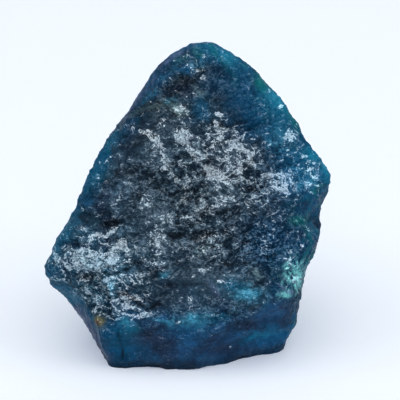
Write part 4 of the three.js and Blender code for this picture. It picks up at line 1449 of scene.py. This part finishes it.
class Graph:
    """Adds nodes to a material's tree and joins them."""

    def __init__(self, name: str) -> None:
        """Make an empty material.

        Args:
            name: The material's name.
        """
        self.material = bpy.data.materials.new(name)
        self.material.use_nodes = True
        self.tree = self.material.node_tree
        self.tree.nodes.clear()

    def add(self, kind: str, inputs: dict | None = None, **settings: object) -> Node:
        """Add a node.

        Args:
            kind: The node's type.
            inputs: Its inputs by name or number: a value, or an output socket to join.
            settings: Its other settings by name.

        Returns:
            The new node.
        """
        node = self.tree.nodes.new(kind)
        for name, value in settings.items():
            setattr(node, name, value)
        for name, value in (inputs or {}).items():
            if isinstance(value, Socket):
                self.tree.links.new(value, node.inputs[name])
            else:
                node.inputs[name].default_value = value
        return node

    def maths(self, operation: str, *values: object, clamp: bool = False) -> Socket:
        """Join a Math node.

        Args:
            operation: What it works out.
            values: Its inputs in order, as numbers or sockets.
            clamp: Whether the result is kept from 0 to 1.

        Returns:
            The node's output.
        """
        inputs = dict(enumerate(values))
        return self.add("ShaderNodeMath", inputs, operation=operation, use_clamp=clamp).outputs[0]

    def times(self, first: object, second: object) -> Socket:
        """Multiply two numbers or sockets."""
        return self.maths("MULTIPLY", first, second)

    def total(self, base: object, *parts: tuple[object, float]) -> Socket:
        """Add weighted sockets to a base.

        Args:
            base: What the parts are added to.
            parts: Each part's socket and its weight.

        Returns:
            The base plus each part times its weight.
        """
        for socket, weight in parts:
            base = self.maths("MULTIPLY_ADD", socket, weight, base)
        return base

    def ramp(self, value: Socket, rise: Pair, levels: Pair = (0.0, 1.0)) -> Socket:
        """Carry a value smoothly from one level to another.

        Args:
            value: The value to look up.
            rise: Where the change begins and ends.
            levels: The results there.

        Returns:
            The result.
        """
        node = self.add(
            "ShaderNodeMapRange",
            {"Value": value, "From Min": rise[0], "From Max": rise[1],
             "To Min": levels[0], "To Max": levels[1]},
            interpolation_type="SMOOTHSTEP",
        )
        return node.outputs[0]

    def mix(self, share: object, first: object, second: object, blend: str = "MIX") -> Socket:
        """Mix two colours.

        Args:
            share: The second colour's share, as a number or a socket.
            first: The first colour, as a socket or three values.
            second: The second colour in the same way.
            blend: The way that they are mixed.

        Returns:
            The mixed colour.
        """
        values = [(*v, 1.0) if isinstance(v, tuple) else v for v in (share, first, second)]
        inputs = dict(zip(MIX_INPUTS, values))
        return self.add("ShaderNodeMix", inputs, data_type="RGBA", blend_type=blend).outputs[MIX_RESULT]

    def tinged(self, colour: Colour, tone: Socket, share: float, lighter: float) -> Socket:
        """Mix into a colour a share of a tone that is made some times lighter."""
        return self.mix(share, colour, self.mix(1.0, tone, (lighter, lighter, lighter), "MULTIPLY"))

    def attribute(self, name: str, output: str = "Fac") -> Socket:
        """Read an attribute of the mesh."""
        return self.add("ShaderNodeAttribute", attribute_name=name).outputs[output]

    def noise(self, place: Socket, scale: float, detail: float, roughness: float = 0.5) -> Node:
        """Add cloudy noise.

        Args:
            place: Where it is read.
            scale: How many clouds there are in a millimetre.
            detail: How many octaves are added to the first.
            roughness: How strong each octave is beside the one before.

        Returns:
            The noise's node.
        """
        inputs = {"Vector": place, "Scale": scale, "Detail": detail, "Roughness": roughness}
        return self.add("ShaderNodeTexNoise", inputs)

    def bent(self, place: Socket, bend: Socket, reach: float) -> Socket:
        """Move a place by a colour's three values times a reach."""
        inputs = {0: bend, 1: (reach, reach, reach), 2: place}
        return self.add("ShaderNodeVectorMath", inputs, operation="MULTIPLY_ADD").outputs[0]


@dataclass(frozen=True)
class AquamarineFinish:
    """Sugary beryl: a dark glossy body under grains, painted shade in its pits, a painted sheen,
    frost with painted highlights on its lit crests, and painted glints. Frost below means both.

    A ramp is given as where it begins and ends, and its levels there.

    Attributes:
        frost_and_highlight: Colour of the white frost and painted highlights on the crests.
        tinge: How much of the body's colour shows through them, and how much lighter it is there.
        pit: How much colour the body keeps under the painted shade in the pits between grains.
        painted_sheen: Colour of the painted sheen on the crests that face the light.
        painted_sheen_tinge: How much of the body's colour shows through it, and how much lighter.
        painted_sheen_ramp: From the depth to how much of it lies there.
        lean: How far the grain's frame leans back, in radians.
        swirl: Scale and reach of the noise that bends the growth layers.
        layer_turn: The way that the layers run, in radians.
        layer_squeeze: How much finer the pattern is along u, v and w.
        curl: Scale and reach of the noise that curls the frost.
        ridges: Scale of the ridges.
        sugar: Scale of the sugary grains.
        nodules: Scale of the nodules.
        octaves: How many octaves the grain has above its first.
        roughness: How strong each of them is beside the one before.
        relief: Weights of the ridges, nodules and grains in the grain's height.
        bump: How far it stands out, in millimetres.
        crest_height: Weight of the mesh's own crests beside it.
        up: The way from which the painted light falls, in the stone's own frame.
        depth: From the height to the depth of the shade.
        speckle: From the grains to their lightness.
        painted_light: From the share facing the light to the painted light on the body.
        rope_turn: The way that the ropes of frost run, in radians.
        rope_size: How long, wide and deep their cells are beside each other.
        ropes: Scale of those cells, and how far a rope reaches from a cell's edge.
        score: The frost's weights for the lit share, ridges, grains, crests and ropes.
        brink: The score at which frost begins, and how much that changes under full frost.
        brink_edge: How softly it begins.
        worms: Scale of the wormy gaps in the frost, and half their width.
        gaps: From the worms to the frost between them.
        glints: Scale of the painted glints in the frost.
        glinting: From them to the frost's strength.
        solid: From the score above the brink to solid frost.
        sparkle: Scale of the single painted sparks of light.
        sparks: From them to their strength.
        near_brink: The scores below the brink between which sparks appear.
        gloss: Roughness of the bare body and of full frost.
        index: Refractive index of beryl.
        sheen: Strength of the reflections.
        sheen_tint: Their colour.
    """

    frost_and_highlight: Colour = linear(238, 244, 247)
    tinge: Pair = (0.24, 5.0)
    pit: Colour = (0.2, 0.3, 0.38)
    painted_sheen: Colour = linear(184, 192, 200)
    painted_sheen_tinge: Pair = (0.5, 4.0)
    painted_sheen_ramp: tuple[Pair, Pair] = ((0.8, 2.4), (0.0, 0.5))
    lean: float = math.radians(25.0)
    swirl: Pair = (0.5, 1.4)
    layer_turn: float = math.radians(-14.0)
    layer_squeeze: Triple = (0.9, 1.0, 1.0)
    curl: Pair = (1.3, 1.3)
    ridges: float = 0.62
    sugar: float = 2.4
    nodules: float = 1.0
    octaves: float = 2.0
    roughness: float = 0.6
    relief: Triple = (0.25, -0.7, 0.9)
    bump: float = 0.8
    crest_height: float = 0.8
    up: Triple = (0.0, -0.5, 0.87)
    depth: tuple[Pair, Pair] = ((-0.1, 0.55), (0.3, 1.5))
    speckle: tuple[Pair, Pair] = ((0.38, 0.62), (0.45, 1.7))
    painted_light: tuple[Pair, Pair] = ((0.4, 0.95), (0.5, 1.3))
    rope_turn: float = math.radians(-69.0)
    rope_size: Triple = (1.5, 0.85, 1.0)
    ropes: Pair = (0.72, 0.22)
    score: tuple[float, float, float, float, float] = (1.1, 0.5, 0.4, 0.65, 0.75)
    brink: Pair = (2.68, -1.3)
    brink_edge: Pair = (-0.25, 0.25)
    worms: Pair = (1.5, 0.14)
    gaps: tuple[Pair, Pair] = ((0.1, 0.8), (0.24, 1.1))
    glints: float = 3.7
    glinting: tuple[Pair, Pair] = ((0.38, 0.62), (0.3, 1.8))
    solid: tuple[Pair, Pair] = ((0.6, 1.7), (0.0, 0.7))
    sparkle: float = 2.9
    sparks: tuple[Pair, Pair] = ((0.52, 0.68), (0.0, 0.38))
    near_brink: Pair = (-1.1, -0.2)
    gloss: Pair = (0.3, 0.42)
    index: float = 1.57
    sheen: float = 0.12
    sheen_tint: Colour = (0.78, 0.92, 1.0)

    def _places(self, graph: Graph) -> tuple[Socket, Socket]:
        """Make the two frames in which the patterns are read, in millimetres.

        Args:
            graph: The material's graph.

        Returns:
            The frame of the bent growth layers, and the same frame curled.
        """
        scale = (1.0 / MM, 1.0 / MM, 1.0 / MM)
        face = graph.add(
            "ShaderNodeMapping",
            {"Vector": graph.add("ShaderNodeTexCoord").outputs["Object"],
             "Rotation": (self.lean - math.pi / 2.0, 0.0, 0.0), "Scale": scale},
        ).outputs[0]
        swirl_scale, swirl_reach = self.swirl
        swirl = graph.noise(face, swirl_scale, detail=2.0).outputs["Color"]
        layered = graph.add(
            "ShaderNodeMapping",
            {"Vector": graph.bent(face, swirl, swirl_reach), "Rotation": (0.0, 0.0, self.layer_turn),
             "Scale": self.layer_squeeze},
        ).outputs[0]
        curl_scale, curl_reach = self.curl
        curl = graph.noise(face, curl_scale, detail=1.0).outputs["Color"]
        return layered, graph.bent(layered, curl, curl_reach)

    def _body(self, graph: Graph, tone: Socket, grain: Socket, depth: Socket) -> Socket:
        """Lay painted shade in the body's pits and a painted sheen on its lit crests.

        Args:
            graph: The material's graph.
            tone: The body's own colour.
            grain: How sugary it is.
            depth: From 0 in the deepest pits over 1 on the level to more on the crests.

        Returns:
            The body's colour.
        """
        # Painted shade darkens the pits, and a painted sheen greys the lit crests.
        shade = graph.mix(graph.ramp(depth, (0.0, 1.0)), self.pit, WHITE)
        body = graph.mix(1.0, tone, shade, "MULTIPLY")
        painted_sheen_colour = graph.tinged(self.painted_sheen, tone, *self.painted_sheen_tinge)
        painted_sheen_share = graph.times(graph.ramp(depth, *self.painted_sheen_ramp), graph.maths("MINIMUM", grain, 1.0))
        return graph.mix(painted_sheen_share, body, painted_sheen_colour)

    def _ropes(self, graph: Graph, curled: Socket) -> Socket:
        """Make the ropes in which frost gathers: the edges between long scattered cells.

        Args:
            graph: The material's graph.
            curled: The curled frame.

        Returns:
            From 1 on a rope's middle to 0 beside it.
        """
        roped = graph.add(
            "ShaderNodeMapping",
            {"Vector": curled, "Rotation": (0.0, 0.0, self.rope_turn), "Scale": self.rope_size},
            vector_type="TEXTURE",
        ).outputs[0]
        scale, width = self.ropes
        edges = graph.add(
            "ShaderNodeTexVoronoi", {"Vector": roped, "Scale": scale, "Randomness": 1.0},
            feature="DISTANCE_TO_EDGE",
        ).outputs[0]
        return graph.ramp(edges, (0.0, width), (1.0, 0.0))

    def _frost_and_highlight_cover(
        self, graph: Graph, layered: Socket, curled: Socket, grain: Socket, above: Socket
    ) -> Socket:
        """Work out how much of the body the white grains and painted highlights hide.

        Args:
            graph: The material's graph.
            layered: The frame of the growth layers.
            curled: The curled frame.
            grain: How sugary the body is.
            above: How far the frost's score lies above its brink.

        Returns:
            The cover, from 0 to 1.
        """
        worm_scale, worm_width = self.worms
        worms = graph.noise(curled, worm_scale, self.octaves, self.roughness).outputs[0]
        worms = graph.maths("ABSOLUTE", graph.maths("SUBTRACT", worms, 0.5))
        worms = graph.ramp(worms, (0.0, worm_width), (1.0, 0.0))
        # Painted glints that break the frost into grains.
        glints = graph.noise(layered, self.glints, detail=1.0).outputs[0]
        grit = graph.times(graph.ramp(worms, *self.gaps), graph.ramp(glints, *self.glinting))
        packed = graph.maths("MAXIMUM", grit, graph.ramp(above, *self.solid))
        cover = graph.maths("MULTIPLY", graph.ramp(above, self.brink_edge), packed, clamp=True)
        # Painted glints: single white sparks just below the brink.
        sparkle = graph.noise(layered, self.sparkle, detail=1.0).outputs[0]
        sparks = graph.times(graph.ramp(sparkle, *self.sparks), grain)
        near = graph.ramp(above, self.near_brink)
        return graph.maths("MAXIMUM", cover, graph.times(sparks, near))

    def material(self) -> bpy.types.Material:
        """Build the material.

        Returns:
            The material, which reads Object coordinates and the attributes tone,
            frost_and_highlight, grain and crest.
        """
        graph = Graph("sugary_aquamarine")
        layered, curled = self._places(graph)
        ridges = graph.add(
            "ShaderNodeTexNoise",
            {"Vector": layered, "Scale": self.ridges, "Detail": self.octaves,
             "Roughness": self.roughness, "Lacunarity": 2.2, "Offset": 0.95, "Gain": 2.0},
            noise_type="RIDGED_MULTIFRACTAL",
            normalize=True,
        ).outputs[0]
        sugar = graph.noise(layered, self.sugar, self.octaves, self.roughness).outputs[0]
        nodules = graph.add(
            "ShaderNodeTexVoronoi", {"Vector": layered, "Scale": self.nodules, "Randomness": 1.0}
        ).outputs["Distance"]
        by_ridges, by_nodules, by_sugar = self.relief
        micro = graph.total(
            graph.times(ridges, by_ridges), (nodules, by_nodules), (sugar, by_sugar)
        )

        tone = graph.attribute("tone", "Color")
        frost_and_highlight, grain, crest = (graph.attribute(name) for name in ("frost_and_highlight", "grain", "crest"))
        bump = graph.add(
            "ShaderNodeBump", {"Strength": grain, "Distance": self.bump * MM, "Height": micro}
        ).outputs[0]
        # Painted light: grains facing the light above are painted lighter and gather painted
        # highlights.
        facing_light = graph.add(
            "ShaderNodeVectorMath", {0: bump, 1: self.up}, operation="DOT_PRODUCT"
        ).outputs["Value"]

        # Painted light on lit grains and painted shade in the pits set the body's depth.
        lightness = graph.times(graph.ramp(sugar, *self.speckle), graph.ramp(facing_light, *self.painted_light))
        depth = graph.ramp(graph.total(micro, (crest, self.crest_height)), *self.depth)
        depth = graph.maths("SUBTRACT", graph.times(depth, lightness), 1.0)
        depth = graph.maths("MULTIPLY_ADD", depth, graph.maths("MINIMUM", grain, 1.0), 1.0)
        body = self._body(graph, tone, grain, depth)

        # Frost and painted highlights gather where the grains face the light and on crests.
        by_facing_light, by_ridges, by_sugar, by_crest, by_rope = self.score
        ropes = self._ropes(graph, curled)
        score = graph.total(
            graph.times(ridges, by_ridges),
            (facing_light, by_facing_light), (sugar, by_sugar), (crest, by_crest), (ropes, by_rope),
        )
        bare_brink, frost_and_highlight_weight = self.brink
        brink = graph.maths("MULTIPLY_ADD", frost_and_highlight, frost_and_highlight_weight, bare_brink)
        above = graph.maths("SUBTRACT", score, brink)
        cover = self._frost_and_highlight_cover(graph, layered, curled, grain, above)
        frost_and_highlight_colour = graph.tinged(self.frost_and_highlight, tone, *self.tinge)
        shader = graph.add(
            "ShaderNodeBsdfPrincipled",
            {"Base Color": graph.mix(cover, body, frost_and_highlight_colour),
             "Roughness": graph.ramp(cover, (0.0, 1.0), self.gloss),
             "Normal": bump, "IOR": self.index, "Specular IOR Level": self.sheen,
             "Specular Tint": (*self.sheen_tint, 1.0)},
        )
        graph.add("ShaderNodeOutputMaterial", {"Surface": shader.outputs[0]})
        return graph.material


@dataclass(frozen=True)
class FloorFinish:
    """Matt pale paper, lit faintly from below as on a light table.

    Attributes:
        colour: Colour of the paper.
        roughness: Its roughness.
        sheen: Strength of its reflections.
        glow: Strength of the light from below.
        glow_colour: Its colour.
    """

    colour: Colour = (0.70, 0.686, 0.672)
    roughness: float = 0.9
    sheen: float = 0.1
    glow: float = 0.37
    glow_colour: Colour = (0.74, 0.82, 1.0)

    def material(self) -> bpy.types.Material:
        """Build the material.

        Returns:
            The paper's material.
        """
        graph = Graph("pale_paper")
        shader = graph.add(
            "ShaderNodeBsdfPrincipled",
            {"Base Color": (*self.colour, 1.0), "Roughness": self.roughness,
             "Specular IOR Level": self.sheen,
             "Emission Color": (*self.glow_colour, 1.0), "Emission Strength": self.glow},
        )
        graph.add("ShaderNodeOutputMaterial", {"Surface": shader.outputs[0]})
        return graph.material


# ---- The stone -----------------------------------------------------------------------------------


@dataclass
class RoughStone:
    """The whole stone as one closed surface.

    Attributes:
        block: The block of rays.
        body: The body's outline, rims and facets.
        relief: The relief on the body.
        grain: How rugged and sugary it is from place to place.
        colours: Its colours.
        frost_and_highlight: The white frost and painted highlights on it.
        finish: The finish of the surface.
        pane: Where the upper right is clear and blue.
        cut_reach: How near to the floor a point counts as on it, in metres.
    """

    block: RayBlock = RayBlock()
    body: StoneBody = field(default_factory=StoneBody)
    relief: StoneRelief = StoneRelief()
    grain: StoneGrain = StoneGrain()
    colours: StoneColours = StoneColours()
    frost_and_highlight: StoneFrostAndHighlight = StoneFrostAndHighlight()
    finish: AquamarineFinish = AquamarineFinish()
    pane: Patch = Patch((9.0, 16.0), (7.5, 3.0), -50.0, 1.0)
    cut_reach: float = 1e-7

    def _dress(self, mesh: bpy.types.Mesh, skin: Skin, crumbs: np.ndarray) -> None:
        """Write the stone's tone, frost and painted highlights, and grain as mesh attributes.

        Args:
            mesh: The stone's mesh, with one vertex for each point.
            skin: The surface.
            crumbs: The height of the crumbs at each point.
        """
        tones = self.colours.tones(skin)
        tone = mesh.attributes.new("tone", "FLOAT_COLOR", "POINT")
        tone.data.foreach_set("color", np.column_stack([tones, np.ones(len(tones))]).ravel())
        frost_and_highlight = self.frost_and_highlight.thickness(skin, self.colours.strokes)
        grain = self.grain.sugar(skin)
        for name, values in (("frost_and_highlight", frost_and_highlight), ("grain", grain), ("crest", crumbs)):
            mesh.attributes.new(name, "FLOAT", "POINT").data.foreach_set("value", values)

    def _cut_foot(self, mesh: bpy.types.Mesh) -> None:
        """Cut a mesh off at the floor and close the cut with one flat.

        Args:
            mesh: The closed mesh of the whole stone, which reaches below the floor.
        """
        shape = bmesh.new()
        shape.from_mesh(mesh)
        everything = shape.verts[:] + shape.edges[:] + shape.faces[:]
        bmesh.ops.bisect_plane(
            shape, geom=everything, dist=self.cut_reach, plane_co=(0, 0, 0), plane_no=(0, 0, 1),
            clear_inner=True,
        )
        open_edges = [edge for edge in shape.edges if edge.is_boundary]
        bmesh.ops.contextual_create(shape, geom=open_edges)
        bmesh.ops.triangulate(shape, faces=[face for face in shape.faces if len(face.verts) > 4])
        bmesh.ops.recalc_face_normals(shape, faces=shape.faces[:])
        shape.to_mesh(mesh)
        shape.free()

    @staticmethod
    def _centre(mesh: bpy.types.Mesh) -> None:
        """Move a mesh over the floor until its box's middle is where the frame's solid has it.

        Args:
            mesh: The stone's mesh.
        """
        coordinates = np.zeros(len(mesh.vertices) * 3)
        mesh.vertices.foreach_get("co", coordinates)
        coordinates = coordinates.reshape(-1, 3)
        low, high = (np.array(corner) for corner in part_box(STONE_NODE))
        shift = (low + high - coordinates.min(axis=0) - coordinates.max(axis=0)) / 2.0
        mesh.transform(Matrix.Translation((shift[0], shift[1], 0.0)))

    def build(self) -> bpy.types.Object:
        """Build and dress the stone.

        Each point is its ray times the body's reach plus the relief, less what the strokes sink.

        Returns:
            The stone's object, linked to the scene.
        """
        rays, cells = self.block.rays()
        rims = self.body.rims(rays)
        reach, shares = self.body.reach(self.body.barriers(rays, rims))
        base = rays * reach[:, None]
        height, crumbs = self.relief.height(base, rims, self.grain.ruggedness(base, shares))
        points = rays * (reach + height - self.colours.sunk(base))[:, None]

        mesh = bpy.data.meshes.new("aquamarine_lump")
        stood = self.body.stood(points)
        mesh.from_pydata(stood * MM, [], [cell.tolist() for cell in cells])
        self._dress(mesh, Skin(points, rims, shares, stood[:, 2], self.pane), crumbs)
        self._cut_foot(mesh)
        mesh.shade_smooth()
        self._centre(mesh)

        stone = bpy.data.objects.new("aquamarine_lump", mesh)
        bpy.context.scene.collection.objects.link(stone)
        mesh.materials.append(self.finish.material())
        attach(stone, BODY)
        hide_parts(STONE_NODE)
        return stone


# ---- The studio ----------------------------------------------------------------------------------


@dataclass(frozen=True)
class Softbox:
    """A square light: its name, place, width, power in watts, colour and aim."""

    name: str
    place: Triple
    width: float
    power: float
    colour: Colour
    aim: Triple = (0.0, 0.0, 0.02)

    def build(self) -> None:
        """Add the light to the scene."""
        light = bpy.data.lights.new(self.name, "AREA")
        light.size = self.width
        light.energy = self.power
        light.color = self.colour
        lamp = bpy.data.objects.new(self.name, light)
        lamp.location = self.place
        towards = Vector(self.aim) - Vector(self.place)
        lamp.rotation_euler = towards.to_track_quat("-Z", "Y").to_euler()
        bpy.context.scene.collection.objects.link(lamp)


@dataclass(frozen=True)
class Studio:
    """A pale floor, soft light and the camera.

    Attributes:
        lens: Focal length in millimetres.
        sensor: Width of the camera's sensor in millimetres.
        distance: From the camera to the stone's middle, in metres.
        lean: How far the camera's line of sight drops, in radians.
        aside: How far the aim lies from the stone's middle, right and up the face, in millimetres.
        middle: The stone's middle in the frame, in millimetres.
        floor_half: Half the floor's width, in metres.
        world: Colour of the surroundings.
        bright_side: The way towards their bright side.
        world_ramp: Where across them the brightness rises, from and to, and its two values.
        lights: The softboxes.
        paper: The finish of the floor.
        gamma: The contrast of the render; below 1 deepens the shades.
    """

    lens: float = 200.0
    sensor: float = 36.0
    distance: float = 0.3556
    lean: float = math.radians(25.0)
    aside: Pair = (1.6, 1.92)
    middle: Triple = (0.31, 1.62, 19.6)
    floor_half: float = 1.5
    world: Colour = (0.88, 0.95, 1.0)
    bright_side: Triple = (0.0, 0.25, 0.97)
    world_ramp: tuple[float, float, float, float] = (0.1, 1.0, 0.02, 0.85)
    lights: tuple[Softbox, ...] = (
        Softbox("key_softbox", (0.0, -0.15, 1.0), 1.1, 3.5, (1.0, 0.985, 0.96)),
        Softbox("front_softbox", (0.0, -1.0, 0.75), 0.9, 2.4, (0.9, 0.95, 1.0)),
        Softbox("left_softbox", (-0.95, -0.2, 0.5), 0.7, 2.4, (0.88, 0.95, 1.0)),
        Softbox("right_softbox", (0.95, -0.2, 0.5), 0.7, 3.1, (0.88, 0.95, 1.0)),
    )
    paper: FloorFinish = FloorFinish()
    gamma: float = 0.8

    def surroundings(self) -> None:
        """Make the surroundings: bright above and behind the stone, dark before it."""
        world = bpy.data.worlds.new("surroundings")
        world.use_nodes = True
        tree = world.node_tree
        background = tree.nodes["Background"]
        background.inputs["Color"].default_value = (*self.world, 1.0)
        way = tree.nodes.new("ShaderNodeTexCoord")
        facing = tree.nodes.new("ShaderNodeVectorMath")
        facing.operation = "DOT_PRODUCT"
        facing.inputs[1].default_value = self.bright_side
        ramp = tree.nodes.new("ShaderNodeMapRange")
        ramp.interpolation_type = "SMOOTHSTEP"
        for name, value in zip(("From Min", "From Max", "To Min", "To Max"), self.world_ramp):
            ramp.inputs[name].default_value = value
        tree.links.new(way.outputs["Generated"], facing.inputs[0])
        tree.links.new(facing.outputs["Value"], ramp.inputs["Value"])
        tree.links.new(ramp.outputs[0], background.inputs["Strength"])
        bpy.context.scene.world = world

    def build(self) -> None:
        """Make the floor, the surroundings, the lights and the camera."""
        half = self.floor_half
        mesh = bpy.data.meshes.new("floor")
        corners = [(-half, -half, 0.0), (half, -half, 0.0), (half, half, 0.0), (-half, half, 0.0)]
        mesh.from_pydata(corners, [], [(0, 1, 2, 3)])
        mesh.materials.append(self.paper.material())
        floor = bpy.data.objects.new("floor", mesh)
        bpy.context.scene.collection.objects.link(floor)

        self.surroundings()
        for light in self.lights:
            light.build()

        camera = bpy.data.cameras.new("camera")
        camera.lens = self.lens
        camera.sensor_width = self.sensor
        right = Vector((1.0, 0.0, 0.0))
        up = Vector((0.0, math.sin(self.lean), math.cos(self.lean)))
        out = right.cross(up)
        aim = Vector(self.middle) * MM + (right * self.aside[0] + up * self.aside[1]) * MM
        turn = Matrix((right, up, out)).transposed().to_4x4()
        viewer = bpy.data.objects.new("camera", camera)
        viewer.matrix_world = Matrix.Translation(aim + out * self.distance) @ turn
        bpy.context.scene.collection.objects.link(viewer)
        bpy.context.scene.camera = viewer
        bpy.context.scene.view_settings.view_transform = "Standard"
        bpy.context.scene.view_settings.gamma = self.gamma


def main() -> None:
    """Load the frame, build the stone and its studio, and report each piece."""
    logging.basicConfig(level=logging.INFO, format="%(name)s: %(message)s")
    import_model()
    stone = RoughStone().build()
    LOG.info("%s: %d faces", stone.name, len(stone.data.polygons))
    Studio().build()


if __name__ == "__main__":
    main()
